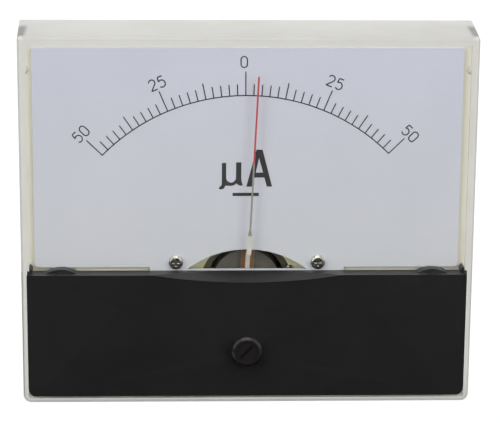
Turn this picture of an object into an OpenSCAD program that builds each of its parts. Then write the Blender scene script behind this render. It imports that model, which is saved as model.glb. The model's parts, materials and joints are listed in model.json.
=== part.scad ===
// Analog panel meter: a moving-coil microammeter with a clear moulded cover, a white
// dial over a black masking plate and a round body that passes through the panel.
// X runs to the right, Y runs back through the panel and Z runs up.  The origin is the
// centre of the panel's face, where the back of the flange seats.

/* [Clear cover] */
// Width of the cover at the panel
face_w = 120; // [116:1:126]
// Height of the cover at the panel
face_h = 100; // [99:0.5:104]
// Depth of the cover in front of the panel
cover_d = 21.5; // [21:0.5:26]
// Taper of each outer wall from the panel to the front
draft = 0.7; // [0.4:0.1:1]
// Thickness of the cover's front
front_t = 2; // [1.8:0.1:2.2]
// Thickness of the cover's side walls
wall_t = 1.3; // [1.1:0.1:1.6]
// Radius of the cover's two lower corners
corner_r = 2; // [1.6:0.1:3]
// Radius of the cover's two upper corners
top_corner_r = 0.6; // [0.4:0.1:0.9]
// Radius of the edge round the cover's front
edge_r = 0.9; // [0.5:0.1:1.2]

/* [Masking plate] */
// Height of the mask's top edge, from the middle of the face
mask_top = -14.4; // [-14.8:0.1:-14.2]
// Thickness of the mask's front
mask_t = 1.8; // [1.4:0.1:1.9]
// Thickness of the mask's ledge and returns
mask_wall = 1.4; // [1.2:0.1:1.6]
// Width of the shallow scoop in the mask's top edge
scoop_w = 52; // [40:1:60]
// Drop of the scoop at its middle
scoop_drop = 2; // [1.8:0.1:2.5]
// Distance of each hump in the ledge from the middle
hump_x = 49; // [46:1:51]
// Height of the humps above the ledge
hump_h = 1.1; // [0.8:0.1:1.3]

/* [Dial] */
// Depth of the dial's face behind the front of the cover
dial_depth = 7; // [7:0.1:7.6]
// Thickness of the dial plate
dial_t = 0.8; // [0.6:0.1:1]
// Gap between the dial plate's side and the cover's wall
dial_side_gap = 2.2; // [2:0.1:4]
// Gap between the dial plate's top and the cover's wall
dial_top_gap = 2.9; // [2.6:0.1:4]
// Radius of the arched window over the movement
window_r = 26; // [25:0.5:28]
// Height of the window's crown, above the movement's axis
window_h = 10.55; // [10.5:0.05:11]
// Distance between the two dial screws
dial_screw_dx = 37.6; // [36:0.2:40]
// Height of the dial screws, above the movement's axis
dial_screw_dz = 7.15; // [6.9:0.05:7.5]

/* [Rear case] */
// Diameter of the round body behind the panel
drum_dia = 80; // [78:0.5:82]
// Depth of the round body behind the panel
drum_d = 38; // [34:1:44]
// Thickness of the round body's wall
drum_wall = 2.2; // [1.8:0.1:2.6]
// Thickness of the flange's floor
floor_t = 2.4; // [2:0.1:3]
// Thickness of the tray's rim wall
tray_wall = 1.6; // [1.4:0.1:1.9]
// Distance between the mounting studs, side to side
stud_dx = 96; // [92:1:98]
// Distance between the mounting studs, up and down
stud_dz = 76; // [74:1:78]
// Diameter of the mounting studs
stud_dia = 4; // [3.5:0.5:4.5]
// Length of the mounting studs behind the panel face
stud_len = 14; // [10:1:18]

/* [Terminals] */
// Distance between the two terminals
term_dx = 32; // [28:1:36]
// Height of the terminals, from the middle of the body
term_z = 12; // [8:1:16]
// Diameter of the terminal studs
term_dia = 4; // [3.5:0.5:4.5]
// Length of the terminal studs behind the body
term_len = 12.5; // [12:0.5:16]

/* [Movement] */
// Drop of the movement's axis below the middle of the face
axis_drop = 19.3; // [19.2:0.05:19.4]
// Radius of the magnet core
core_r = 9; // [8.6:0.1:9.2]
// Air gap between the core and the yoke
air_gap = 1.5; // [1.4:0.05:1.6]
// Radial thickness of the yoke ring
yoke_t = 4; // [3.6:0.1:4.4]
// Length of the yoke ring
yoke_len = 12; // [11:0.5:13]
// Depth of the frame's front face behind the back of the dial
frame_gap = 2.2; // [2.1:0.05:2.3]
// Thickness of the movement frame
frame_t = 2; // [2:0.1:2.4]
// Thickness of the coil's winding
winding_t = 0.5; // [0.4:0.05:0.55]
// Width of the coil's winding
coil_w = 3; // [2.6:0.1:3.2]
// Number of turns in each hairspring
spring_turns = 4; // [3:0.5:5]

/* [Pointer] */
// Reach of the pointer's tip from the axis
pointer_r = 57.7; // [52:0.2:60]
// Angle of the pointer to the right of upright, at rest
pointer_rest = 2.7; // [0:0.1:5]
// Width of the needle
needle_w = 0.46; // [0.4:0.02:0.6]
// Height of the needle in front of the dial
needle_lift = 1.8; // [1.7:0.05:1.9]

/* [Zero adjuster] */
// Drop of the zero screw below the movement's axis
zero_drop = 15.8; // [15.2:0.2:17]
// Diameter of the zero screw's head
zero_head_dia = 8; // [7.4:0.1:8.4]
// Diameter of the zero screw's journal in the cover
zero_journal_dia = 5; // [4.6:0.1:5.4]
// Throw of the zero screw's eccentric pin
zero_throw = 1.1; // [0.9:0.05:1.2]
// Angle of the slot in the zero screw's head
zero_slot_angle = 45; // [0:5:90]

/* [Hidden] */
$fn = 64;

// Clearances
slide_gap = 0.1;        // between a moulding and the wall it slides in
tray_gap = 0.2;         // between the tray's rim and the cover
run_gap = 0.05;         // radial play of a shaft in its hole
screw_gap = 0.05;       // radial play of a thread in its hole
clear_gap = 0.2;        // radial play of a screw in a clearance hole
through = 1;            // extra length of a cutting tool

// Depths through the case, from the front back to the panel's face
front_y = -cover_d;
glass_y = front_y + front_t;
mask_back_y = glass_y + mask_t;
dial_y = front_y + dial_depth;
rim_y = dial_y + dial_t;
ledge_y = dial_y - 0.4;

// Depths through the movement
frame_y = rim_y + frame_gap;
yoke_y = frame_y + frame_t;
yoke_back_y = yoke_y + yoke_len;
core_y = yoke_y + 0.5;
core_back_y = yoke_back_y - 0.5;
former_t = 0.25;
former_play = 0.35;
former_y = core_y - former_play;
former_back_y = core_back_y + former_play;
coil_y = former_y - former_t - winding_t;
coil_back_y = former_back_y + former_t + winding_t;
cross_t = 0.8;
cross_y = coil_y - cross_t;

// Depths of the front bearing, from the pointer's boss forward
stem_t = 0.5;
stem_y = cross_y - stem_t;
spring_w = 0.5;
spring_y = stem_y - spring_w - 0.15;
collet_y = spring_y - 0.05;
jewel_t = 0.8;
jewel_y = collet_y - 0.2;
tip_in = 0.3;
bridge_t = 1.2;
arm_t = 0.6;
arm_y = jewel_y - 1.3 - arm_t;
bridge_y = arm_y - run_gap - bridge_t;
nut_t = 0.9;
nut_rim = 1.2;
screw_end = 0.4;

// Depths of the rear bearing, from the coil back
pad_y = coil_back_y + cross_t;
rear_spring_y = pad_y + 0.1;
rear_collet_y = rear_spring_y + spring_w + 0.15;
rear_jewel_y = rear_collet_y + 0.2;
rear_bridge_y = rear_jewel_y + 1.8;

// Radii and places about the movement's axis
axis_z = -axis_drop;
bore_r = core_r + air_gap;
yoke_r = bore_r + yoke_t;
former_r = core_r + former_play + former_t;
coil_r = former_r + winding_t;
former_w = coil_w + 0.6;
aperture_r = bore_r + yoke_t / 2 - 0.1;
frame_disc_r = yoke_r + 4.5;
tail_slot_r = yoke_r + 1.5;
tail_slot_a = 60;
jewel_screw_r = 1.25;
jewel_r = 0.8;
pivot_r = 0.5;
collet_r = 1.2;
spring_in_r = collet_r + 0.15;
spring_out_r = 5.2;
spring_t = 0.14;
tab_t = 0.6;
tab_w = 1.6;
arm_tab_a = 250;
rear_tab_a = 90;

// Screws of the movement
small_r = 1;
small_head_r = 1.9;
small_head_t = 1.2;
frame_screw_r = 1.25;
frame_head_r = 2.3;
frame_head_t = 1.4;
yoke_screw_r = bore_r + yoke_t / 2;
head_gap = 0.5;
yoke_screw_a = 90 - asin((2 * small_head_r + head_gap) / yoke_screw_r);
key_h = 5;
key_screw_y = yoke_y + 4;
key_seat = 1.2;
collar_h = 1.5;
collar_t = 1.7;
web_h = 2;
web_t = 1.6;

// Case sizes
tray_w = 2 * (cavity(face_w, rim_y) - tray_gap);
tray_h = 2 * (cavity(face_h, rim_y) - tray_gap);
drum_r = drum_dia / 2;
drum_in_r = drum_r - drum_wall;
drum_floor_t = 2.6;
drum_in_y = drum_d - drum_floor_t;
drum_edge = 1.5;
foot_t = 0.4;
post_r = 3.2;
frame_hole_x = drum_in_r + 1.7;
frame_hole_z = axis_z + 8.3;
frame_foot_z = -drum_in_r - 3.6;
beam_h = 9;
boss_r = 3.4;
stud_boss_r = stud_dia / 2 + 2.6;
stud_boss_h = 4;
stud_head_r = stud_dia / 2 + 1.6;
stud_head_t = 2.4;
stud_grip = 0.4;
rib_h = 3;
rib_t = 1.6;
end_edge = 0.6;
snap_y = rim_y + 5;
snap_r = 0.9;
snap_z = [38, -30];
rest_t = 2;
rest_h = 2.4;
rest_lap = 1;
rest_sink = 0.2;

// Dial
dial_w = 2 * (cavity(face_w, dial_y) - dial_side_gap);
dial_top = cavity(face_h, dial_y) - dial_top_gap;
window_z = axis_z + window_h - window_r;
dial_screw_z = axis_z + dial_screw_dz;
dial_shoulder = mask_top + 0.8;
dial_foot = axis_z + 3.4;
window_sill = mask_top + 0.2;
dial_foot_w = dial_screw_dx + 14;
dial_corner_r = 0.8;

// Mask
hump_r = 7.8;
horn_h = 1.6;

// Pointer
needle_y = dial_y - needle_lift;
needle_t = 0.3;
stem_w = 1.2;
riser_r = 9.55;
pointer_boss_r = 2.4;
cross_hub_r = 2.6;
cross_arm_r = 9.4;
side_weight_r = 6.4;
side_weight_l = 2;
tail_weight_l = 4.2;
paddle_r = 14.7;
arm_wire_r = 0.35;
weight_r = 0.8;

// Terminals
term_r = term_dia / 2;
term_boss_t = 1;
term_boss_r = term_r + 3.6;
term_head_t = 2.2;
washer_t = 0.8;
term_nut_t = 3.2;
term_nut_r = term_r + 2.05;
washer_rim = 2.4;
lug_t = 0.6;
lug_rim = 2.2;
lug_w = 3.2;
lug_len = 12;
lug_eye_r = 0.8;
washer_y = drum_d + term_boss_t;
nut_y = washer_y + washer_t;
lug_y = nut_y + term_nut_t;
washer2_y = lug_y + lug_t;
nut2_y = washer2_y + washer_t;

// Zero adjuster
zero_z = axis_z - zero_drop;
zero_head_r = zero_head_dia / 2;
zero_journal_r = zero_journal_dia / 2;
zero_web = 0.7;
zero_proud = 0.8;
zero_boss_t = 1;
zero_edge = 0.6;
zero_dish = 0.35;
zero_lip = 1.1;
zero_slot_w = 0.8;
zero_slot_t = 1.5;
zero_slot_end = 1.7;
zero_pin_r = 0.6;
fork_gap = 0.15;
clip_t = 0.6;
clip_y = mask_back_y + zero_boss_t + run_gap;
clip_groove = 0.4;
clip_rim = 1.2;
clip_mouth = 2.4;

// Straps inside the body
strap_w = 1.6;
strap_t = 0.5;
strap_y = drum_in_y - term_head_t;
strap_run_y = strap_y - 0.8;
strap_front_x = yoke_r + 6.6;
strap_rear_x = 7.5;

// Front bridge
bridge_w = 5;
front_leg_x = bore_r + 5;
front_screw_x = front_leg_x + bridge_t + 2.3;
front_foot_x = front_screw_x + 3.3;

// Half the width of the cover's cavity at depth y, for a cover of width w at the panel
function cavity(w, y) = w / 2 + draft * y / cover_d - wall_t;

// Point at radius r and angle a, measured clockwise from straight up
function clock(r, a) = [r * sin(a), r * cos(a)];

// Extrudes a drawing of the front view from depth y0 back to depth y1
module slab(y0, y1) {
    translate([0, y1, 0])
        rotate([90, 0, 0])
            linear_extrude(y1 - y0)
                children();
}

// Extrudes a drawing in the Y and Z plane from x0 to x1
module along_x(x0, x1) {
    translate([x0, 0, 0])
        rotate([90, 0, 90])
            linear_extrude(x1 - x0)
                children();
}

// Round bar along Y from depth y0 to y1, tapering from radius r to r2
module rod(y0, y1, r, r2 = -1) {
    translate([0, y0, 0])
        rotate([-90, 0, 0])
            cylinder(h = y1 - y0, r1 = r, r2 = r2 < 0 ? r : r2);
}

// Flat ring or tube along Y
module tube(y0, y1, r_out, r_in) {
    difference() {
        rod(y0, y1, r_out);
        rod(y0 - through, y1 + through, r_in);
    }
}

// Moves its children across the front view
module at(x, z) {
    translate([x, 0, z])
        children();
}

// Places its children on the movement's axis, turned clockwise by angle a
module on_axis(a = 0) {
    at(0, axis_z)
        rotate([0, a, 0])
            children();
}

// Makes its children twice, mirrored left to right
module both_sides() {
    children();
    mirror([1, 0, 0])
        children();
}

// Makes a flat drawing twice, mirrored left to right
module both_sides_flat() {
    children();
    mirror([1, 0])
        children();
}

// Rectangle with round corners
module round_rect(w, h, r) {
    square([w - 2 * r, h], center = true);
    square([w, h - 2 * r], center = true);
    for (x = [-1, 1], z = [-1, 1])
        translate([x * (w / 2 - r), z * (h / 2 - r)])
            circle(r);
}

// Pan head screw along Y: the crossed head starts at y0 and the tip ends at y1
module pan_screw(y0, y1, r, head_r, head_t) {
    edge = head_t * 0.45;
    difference() {
        union() {
            rod(y0, y0 + edge, head_r - edge, head_r);
            rod(y0 + edge, y0 + head_t, head_r);
            rod(y0 + head_t, y1 - r / 2, r);
            rod(y1 - r / 2, y1, r, r / 2);
        }
        for (a = [0, 90])
            rotate([0, a, 0])
                translate([0, y0, 0])
                    cube([head_r * 1.1, head_t, head_r * 0.28], center = true);
    }
}

// Pan head screw that points forward: the head ends at y1 and the tip starts at y0
module back_screw(y0, y1, r, head_r, head_t) {
    mirror([0, 1, 0])
        pan_screw(-y1, -y0, r, head_r, head_t);
}

// Six-sided nut on a thread of radius r
module hex_nut(y0, y1, nut_r, r) {
    difference() {
        rod(y0, y1, nut_r, $fn = 6);
        rod(y0 - through, y1 + through, r + screw_gap);
    }
}

// ---- Case ------------------------------------------------------------------------

// Tapered block with a round front edge, round lower corners and crisp upper ones
module cover_block() {
    x = face_w / 2;
    z = face_h / 2;
    hull()
        for (s = [-1, 1]) {
            translate([s * (x - draft - corner_r), front_y + edge_r, -z + draft + corner_r])
                rotate([90, 0, 0])
                    rotate_extrude($fn = 32)
                        translate([corner_r - edge_r, 0])
                            circle(edge_r, $fn = 20);
            translate([s * (x - draft - edge_r), front_y + edge_r, z - draft - edge_r])
                sphere(edge_r, $fn = 20);
            at(s * (x - corner_r), -z + corner_r)
                rod(-foot_t, 0, corner_r, $fn = 32);
            at(s * (x - top_corner_r), z - top_corner_r)
                rod(-foot_t, 0, top_corner_r, $fn = 32);
        }
}

// Hollow of the cover, open at the back
module cover_cavity() {
    r = max(corner_r - wall_t, 0.5);
    hull()
        for (sx = [-1, 1], sz = [-1, 1], y = [glass_y, through])
            at(sx * (cavity(face_w, y) - r), sz * (cavity(face_h, y) - r))
                rod(y, y + 0.01, r, $fn = 32);
}

// Places where the cover's four pips snap into the tray
module snap_places() {
    both_sides()
        for (z = snap_z)
            translate([cavity(face_w, snap_y), snap_y, z])
                children();
}

module front_cover() {
    color([0.86, 0.88, 0.86, 0.35]) {
        difference() {
            cover_block();
            cover_cavity();
            at(0, zero_z) {
                rod(front_y - through, glass_y - zero_web, zero_head_r + slide_gap);
                rod(front_y, glass_y + through, zero_journal_r + run_gap);
            }
        }
        snap_places()
            sphere(r = snap_r, $fn = 24);
    }
}

// Outline of the mask: square at the top, round at its two lower corners
module mask_outline(half_w, bottom) {
    translate([-half_w, bottom + corner_r])
        square([2 * half_w, mask_top - bottom - corner_r]);
    translate([-half_w + corner_r, bottom])
        square([2 * (half_w - corner_r), corner_r + 1]);
    for (s = [-1, 1])
        translate([s * (half_w - corner_r), bottom + corner_r])
            circle(corner_r);
}

// Ledge that runs back from the mask's top edge to the dial, thick at its root
module mask_ledge(half_w) {
    root = mask_wall + scoop_drop;
    along_x(-half_w, half_w)
        polygon([[glass_y, mask_top],
                 [ledge_y, mask_top],
                 [ledge_y, mask_top - mask_wall],
                 [mask_back_y, mask_top - root],
                 [glass_y, mask_top - root]]);
}

// Wide round cutter, tilted so that it dips the front of the ledge and not its back
module scoop_cutter() {
    half = scoop_w / 2;
    r = (half * half + scoop_drop * scoop_drop) / (2 * scoop_drop);
    run = ledge_y - glass_y;
    translate([0, ledge_y, mask_top])
        rotate([atan(scoop_drop / run), 0, 0])
            at(0, r)
                rod(-2 * run, 0, r, $fn = 180);
}

module lower_mask() {
    half_w = cavity(face_w, glass_y) - slide_gap;
    bottom = slide_gap - cavity(face_h, glass_y);
    color([0.11, 0.11, 0.115])
        difference() {
            union() {
                slab(glass_y, mask_back_y)
                    mask_outline(half_w, bottom);
                mask_ledge(half_w);
                slab(glass_y, rim_y)
                    difference() {
                        mask_outline(half_w, bottom);
                        translate([-half_w + mask_wall, bottom + mask_wall])
                            square([2 * (half_w - mask_wall), face_h]);
                    }
                both_sides()
                    slab(mask_back_y, rim_y)
                        polygon([[half_w - mask_wall, mask_top - 1],
                                 [half_w, mask_top - 1],
                                 [half_w, mask_top + horn_h / 3],
                                 [half_w - mask_wall / 2, mask_top + horn_h],
                                 [half_w - mask_wall, mask_top + horn_h / 2]]);
                both_sides()
                    at(hump_x, mask_top + hump_h - hump_r)
                        tube(mask_back_y, ledge_y, hump_r, hump_r - mask_wall);
                at(0, zero_z)
                    rod(mask_back_y, mask_back_y + zero_boss_t, zero_journal_r + 1.6);
            }
            scoop_cutter();
            at(0, zero_z)
                rod(glass_y - through, clip_y + through, zero_journal_r + clear_gap);
        }
}

// Places of the three posts that carry the movement frame
module frame_posts() {
    both_sides()
        at(frame_hole_x, frame_hole_z)
            children();
    at(0, frame_foot_z)
        children();
}

// Places of the four mounting studs
module stud_places() {
    for (x = [-1, 1], z = [-1, 1])
        at(x * stud_dx / 2, z * stud_dz / 2)
            children();
}

// Ledge inside the tray's rim that the edge of the dial rests on
module dial_rest() {
    in_x = tray_w / 2 - tray_wall + rest_sink;
    in_z = tray_h / 2 - tray_wall + rest_sink;
    rest_in_x = dial_w / 2 - rest_lap;
    bottom = dial_shoulder + rest_lap - rest_h;
    slab(rim_y, rim_y + rest_t)
        difference() {
            translate([-in_x, bottom])
                square([2 * in_x, in_z - bottom]);
            translate([-rest_in_x, bottom + rest_h])
                square([2 * rest_in_x, dial_top - rest_lap - bottom - rest_h]);
            translate([-dial_foot_w / 2 - rest_sink, bottom - through])
                square([dial_foot_w + 2 * rest_sink, rest_h + 2 * through]);
            both_sides_flat()
                translate([frame_hole_x, frame_hole_z])
                    circle(frame_head_r + head_gap);
        }
}

// Places of the two terminals
module terminal_places() {
    both_sides()
        at(term_dx / 2, term_z)
            children();
}

module rear_case() {
    rib_r = norm([stud_dx / 2, stud_dz / 2]);
    rib_a = atan(stud_dz / stud_dx);
    color([0.87, 0.85, 0.77])
        difference() {
            union() {
                difference() {
                    union() {
                        slab(rim_y, 0)
                            round_rect(tray_w, tray_h, corner_r - 0.4);
                        rod(-floor_t, drum_d - drum_edge, drum_r);
                        rod(drum_d - drum_edge, drum_d, drum_r, drum_r - drum_edge);
                    }
                    slab(rim_y - through, -floor_t)
                        round_rect(tray_w - 2 * tray_wall, tray_h - 2 * tray_wall, 0.8);
                    rod(-floor_t - through, drum_in_y, drum_in_r);
                }
                frame_posts()
                    rod(yoke_y, -floor_t, post_r);
                stud_places()
                    rod(-floor_t - stud_boss_h, -floor_t, stud_boss_r);
                for (s = [-1, 1], a = [rib_a, -rib_a])
                    rotate([0, -a, 0])
                        translate([s * (drum_in_r + rib_r) / 2, -floor_t - rib_h / 2, 0])
                            cube([rib_r - drum_in_r, rib_h, rib_t], center = true);
                dial_rest();
                terminal_places()
                    rod(drum_in_y, drum_d + term_boss_t, term_boss_r);
            }
            frame_posts()
                rod(yoke_y - through, yoke_y + 6, frame_screw_r);
            stud_places()
                rod(-floor_t - stud_boss_h - through, through, stud_dia / 2 + stud_grip + screw_gap);
            terminal_places()
                rod(drum_in_y - through, drum_d + 2 * through, term_r + screw_gap);
            snap_places()
                sphere(r = snap_r + slide_gap, $fn = 24);
        }
}

module dial_plate() {
    h = dial_top - dial_shoulder;
    color([0.84, 0.84, 0.86])
        slab(dial_y, rim_y)
            difference() {
                union() {
                    translate([0, dial_shoulder + h / 2])
                        round_rect(dial_w, h, dial_corner_r);
                    translate([-dial_foot_w / 2, dial_foot])
                        square([dial_foot_w, h / 2]);
                }
                intersection() {
                    translate([0, window_z])
                        circle(window_r, $fn = 96);
                    translate([-window_r, window_sill])
                        square([2 * window_r, window_r]);
                }
                for (s = [-1, 1])
                    translate([s * dial_screw_dx / 2, dial_screw_z])
                        circle(small_r + clear_gap);
            }
}

module dial_screws() {
    color([0.75, 0.75, 0.76])
        both_sides()
            at(dial_screw_dx / 2, dial_screw_z)
                pan_screw(dial_y - small_head_t, frame_y + 1.5, small_r, small_head_r, small_head_t);
}

module mounting_studs() {
    boss_y = -floor_t - stud_boss_h;
    color([0.72, 0.72, 0.7])
        stud_places() {
            rod(boss_y - stud_head_t, boss_y, stud_head_r, $fn = 6);
            rod(boss_y, 0, stud_dia / 2 + stud_grip);
            rod(0, stud_len - end_edge, stud_dia / 2);
            rod(stud_len - end_edge, stud_len, stud_dia / 2, stud_dia / 2 - end_edge);
        }
}

module terminal_studs() {
    end_y = drum_d + term_len;
    color([0.78, 0.66, 0.36])
        terminal_places() {
            rod(drum_in_y - term_head_t, drum_in_y, term_nut_r, $fn = 6);
            rod(drum_in_y, end_y - end_edge, term_r);
            rod(end_y - end_edge, end_y, term_r, term_r - end_edge);
        }
}

module terminal_nuts() {
    color([0.78, 0.66, 0.36])
        terminal_places()
            for (y = [nut_y, nut2_y])
                hex_nut(y, y + term_nut_t, term_nut_r, term_r);
}

module terminal_washers() {
    color([0.75, 0.75, 0.73])
        terminal_places()
            for (y = [washer_y, washer2_y])
                tube(y, y + washer_t, term_r + washer_rim, term_r + clear_gap);
}

module solder_lugs() {
    color([0.8, 0.8, 0.78])
        terminal_places()
            slab(lug_y, lug_y + lug_t)
                difference() {
                    union() {
                        circle(term_r + lug_rim);
                        translate([-lug_w / 2, 0])
                            square([lug_w, lug_len]);
                        translate([0, lug_len])
                            circle(lug_w / 2);
                    }
                    circle(term_r + clear_gap);
                    translate([0, lug_len])
                        circle(lug_eye_r);
                }
}

// ---- Movement, fixed parts ---------------------------------------------------------

// Front view of the movement frame, with no holes in it
module frame_outline() {
    ear_r = 4;
    translate([0, axis_z])
        circle(frame_disc_r, $fn = 96);
    translate([-frame_hole_x, frame_hole_z - beam_h / 2])
        square([2 * frame_hole_x, beam_h]);
    translate([-ear_r, frame_foot_z])
        square([2 * ear_r, axis_z - frame_foot_z]);
    for (x = [-frame_hole_x, frame_hole_x])
        translate([x, frame_hole_z])
            circle(beam_h / 2);
    translate([0, frame_foot_z])
        circle(ear_r);
}

// Sector about the axis, half_a degrees each side of straight down
module down_sector(r, half_a) {
    reach = 2 * r;
    intersection() {
        circle(r, $fn = 96);
        polygon([[0, 0],
                 [reach * sin(half_a), -reach * cos(half_a)],
                 [reach, -2 * reach],
                 [-reach, -2 * reach],
                 [-reach * sin(half_a), -reach * cos(half_a)]]);
    }
}

module movement_frame() {
    color([0.85, 0.83, 0.72])
        difference() {
            union() {
                slab(frame_y, yoke_y)
                    frame_outline();
                on_axis()
                    tube(yoke_y, yoke_y + collar_h, yoke_r + collar_t, yoke_r + run_gap);
                both_sides()
                    at(dial_screw_dx / 2, dial_screw_z)
                        rod(rim_y, frame_y, boss_r);
                both_sides()
                    translate([yoke_r + collar_t / 2, yoke_y, frame_hole_z - web_t / 2])
                        cube([frame_hole_x - post_r - collar_t - yoke_r, web_h, web_t]);
            }
            on_axis()
                rod(frame_y - through, yoke_y + through, aperture_r);
            slab(frame_y - through, yoke_y)
                translate([0, axis_z])
                    down_sector(tail_slot_r, tail_slot_a);
            frame_posts()
                rod(frame_y - through, yoke_y + through, frame_screw_r + clear_gap);
            both_sides() {
                at(dial_screw_dx / 2, dial_screw_z)
                    rod(rim_y - through, yoke_y + 4, small_r + screw_gap);
                at(front_screw_x, axis_z)
                    rod(frame_y - through, yoke_y + through, small_r + screw_gap);
            }
            for (a = [yoke_screw_a, yoke_screw_a - 180])
                on_axis(a)
                    at(0, yoke_screw_r)
                        rod(frame_y - through, yoke_y + through, small_r + screw_gap);
        }
}

module frame_screws() {
    color([0.72, 0.72, 0.7])
        frame_posts()
            pan_screw(frame_y - frame_head_t, yoke_y + 5, frame_screw_r - screw_gap, frame_head_r,
                      frame_head_t);
}

module yoke_ring() {
    color([0.24, 0.24, 0.25])
        difference() {
            on_axis()
                tube(yoke_y, yoke_back_y, yoke_r, bore_r, $fn = 96);
            for (a = [yoke_screw_a, yoke_screw_a - 180])
                on_axis(a)
                    at(0, yoke_screw_r)
                        rod(yoke_y - through, yoke_back_y + through, small_r + clear_gap);
            both_sides() {
                at(yoke_screw_r, axis_z)
                    rod(yoke_back_y - 4.6, yoke_back_y + through, small_r + screw_gap);
                translate([0, key_screw_y, axis_z])
                    rotate([0, 90, 0]) {
                        cylinder(h = yoke_r + through, r = small_r + clear_gap);
                        translate([0, 0, yoke_r - key_seat])
                            cylinder(h = key_seat + through, r = small_head_r + 0.1);
                    }
            }
        }
}

module yoke_screws() {
    color([0.72, 0.72, 0.7])
        for (a = [yoke_screw_a, yoke_screw_a - 180])
            on_axis(a)
                at(0, yoke_screw_r)
                    back_screw(frame_y + 0.2, yoke_back_y + small_head_t, small_r, small_head_r,
                               small_head_t);
}

module core_magnet() {
    color([0.3, 0.3, 0.31])
        difference() {
            on_axis()
                rod(core_y, core_back_y, core_r, $fn = 96);
            both_sides()
                translate([core_r - 4, key_screw_y, axis_z])
                    rotate([0, 90, 0])
                        cylinder(h = 4 + through, r = small_r + screw_gap);
        }
}

module core_keys() {
    color([0.75, 0.64, 0.38])
        both_sides()
            difference() {
                on_axis()
                    intersection() {
                        tube(core_y + 0.5, core_back_y - 0.5, bore_r - 0.02, core_r + 0.02, $fn = 96);
                        translate([0, core_y, -key_h / 2])
                            cube([bore_r + 1, yoke_len, key_h]);
                    }
                translate([0, key_screw_y, axis_z])
                    rotate([0, 90, 0])
                        cylinder(h = yoke_r, r = small_r + clear_gap);
            }
}

module core_screws() {
    color([0.72, 0.72, 0.7])
        both_sides()
            translate([yoke_r - key_seat, key_screw_y, axis_z])
                rotate([0, 0, 90])
                    pan_screw(-small_head_t, yoke_r - key_seat - core_r + 3.6, small_r, small_head_r,
                              small_head_t);
}

module front_bridge() {
    leg = front_leg_x;
    color([0.76, 0.76, 0.74])
        difference() {
            translate([0, 0, axis_z - bridge_w / 2])
                linear_extrude(bridge_w)
                    both_sides_flat() {
                        translate([0, bridge_y])
                            square([leg + bridge_t, bridge_t]);
                        translate([leg, bridge_y])
                            square([bridge_t, frame_y - bridge_y]);
                        translate([leg, frame_y - bridge_t])
                            square([front_foot_x - leg, bridge_t]);
                    }
            on_axis()
                rod(bridge_y - through, bridge_y + bridge_t + through, jewel_screw_r + screw_gap);
            both_sides()
                at(front_screw_x, axis_z)
                    rod(frame_y - bridge_t - through, frame_y + through, small_r + clear_gap);
        }
}

module rear_bridge() {
    back_y = rear_bridge_y + bridge_t;
    color([0.76, 0.76, 0.74])
        difference() {
            union() {
                on_axis()
                    slab(rear_bridge_y, back_y) {
                        square([2 * yoke_screw_r, bridge_w], center = true);
                        for (s = [-1, 1])
                            translate([s * yoke_screw_r, 0])
                                circle(bridge_w / 2);
                    }
                on_axis(rear_tab_a)
                    translate([-tab_w / 2, rear_spring_y, spring_out_r])
                        cube([tab_w, rear_bridge_y - rear_spring_y + 0.1, tab_t]);
            }
            on_axis()
                rod(rear_bridge_y - through, back_y + through, jewel_screw_r + screw_gap);
            both_sides()
                at(yoke_screw_r, axis_z)
                    rod(rear_bridge_y - through, back_y + through, small_r + clear_gap);
        }
}

module rear_pillars() {
    color([0.75, 0.64, 0.38])
        both_sides()
            at(yoke_screw_r, axis_z)
                tube(yoke_back_y, rear_bridge_y, small_head_r, small_r + 0.1);
}

module bridge_screws() {
    color([0.72, 0.72, 0.7])
        both_sides() {
            at(front_screw_x, axis_z)
                pan_screw(frame_y - bridge_t - small_head_t, yoke_y - 0.2, small_r, small_head_r,
                          small_head_t);
            at(yoke_screw_r, axis_z)
                back_screw(yoke_back_y - 4.2, rear_bridge_y + bridge_t + small_head_t, small_r,
                           small_head_r, small_head_t);
        }
}

// Jewel screw: slotted end at y0, socket for the jewel at y1
module jewel_screw(y0, y1) {
    difference() {
        rod(y0, y1, jewel_screw_r);
        rod(y1 - jewel_t, y1 + through, jewel_r + 0.02);
        translate([0, y0, 0])
            cube([3 * jewel_screw_r, 1, 0.5], center = true);
    }
}

// Turns its children back to front about the panel's plane
module face_forward() {
    mirror([0, 1, 0])
        children();
}

module front_jewel_screw() {
    color([0.78, 0.68, 0.4])
        on_axis()
            jewel_screw(bridge_y - nut_t - screw_end, jewel_y);
}

module rear_jewel_screw() {
    color([0.78, 0.68, 0.4])
        on_axis()
            face_forward()
                jewel_screw(-(rear_bridge_y + bridge_t + nut_t + screw_end), -rear_jewel_y);
}

// Cup jewel with its cone open at y1
module cup_jewel(y1) {
    difference() {
        rod(y1 - jewel_t, y1, jewel_r);
        rod(y1 - 0.45, y1 + 0.01, 0.05, 0.56);
    }
}

module jewels() {
    color([0.6, 0.12, 0.3])
        on_axis() {
            cup_jewel(jewel_y);
            face_forward()
                cup_jewel(-rear_jewel_y);
        }
}

module jewel_lock_nuts() {
    back_y = rear_bridge_y + bridge_t;
    color([0.78, 0.68, 0.4])
        on_axis() {
            hex_nut(bridge_y - nut_t, bridge_y, jewel_screw_r + nut_rim, jewel_screw_r);
            hex_nut(back_y, back_y + nut_t, jewel_screw_r + nut_rim, jewel_screw_r);
        }
}

// Flat spiral from the collet out to a tab at angle a, as drawn from the front
module spiral(a) {
    steps = round(spring_turns * 18);
    pitch = (spring_out_r - spring_t / 2 - spring_in_r) / steps;
    turn = 360 * spring_turns / steps;
    inner_r = spring_in_r - spring_t / 2;
    outer_r = spring_in_r + spring_t / 2;
    inner = [for (i = [0 : steps]) clock(inner_r + pitch * i, a + turn * (i - steps))];
    outer = [for (i = [steps : -1 : 0]) clock(outer_r + pitch * i, a + turn * (i - steps))];
    polygon(concat(inner, outer));
}

module rear_hairspring() {
    color([0.8, 0.66, 0.42])
        on_axis()
            slab(rear_spring_y, rear_spring_y + spring_w)
                spiral(rear_tab_a);
}

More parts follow.
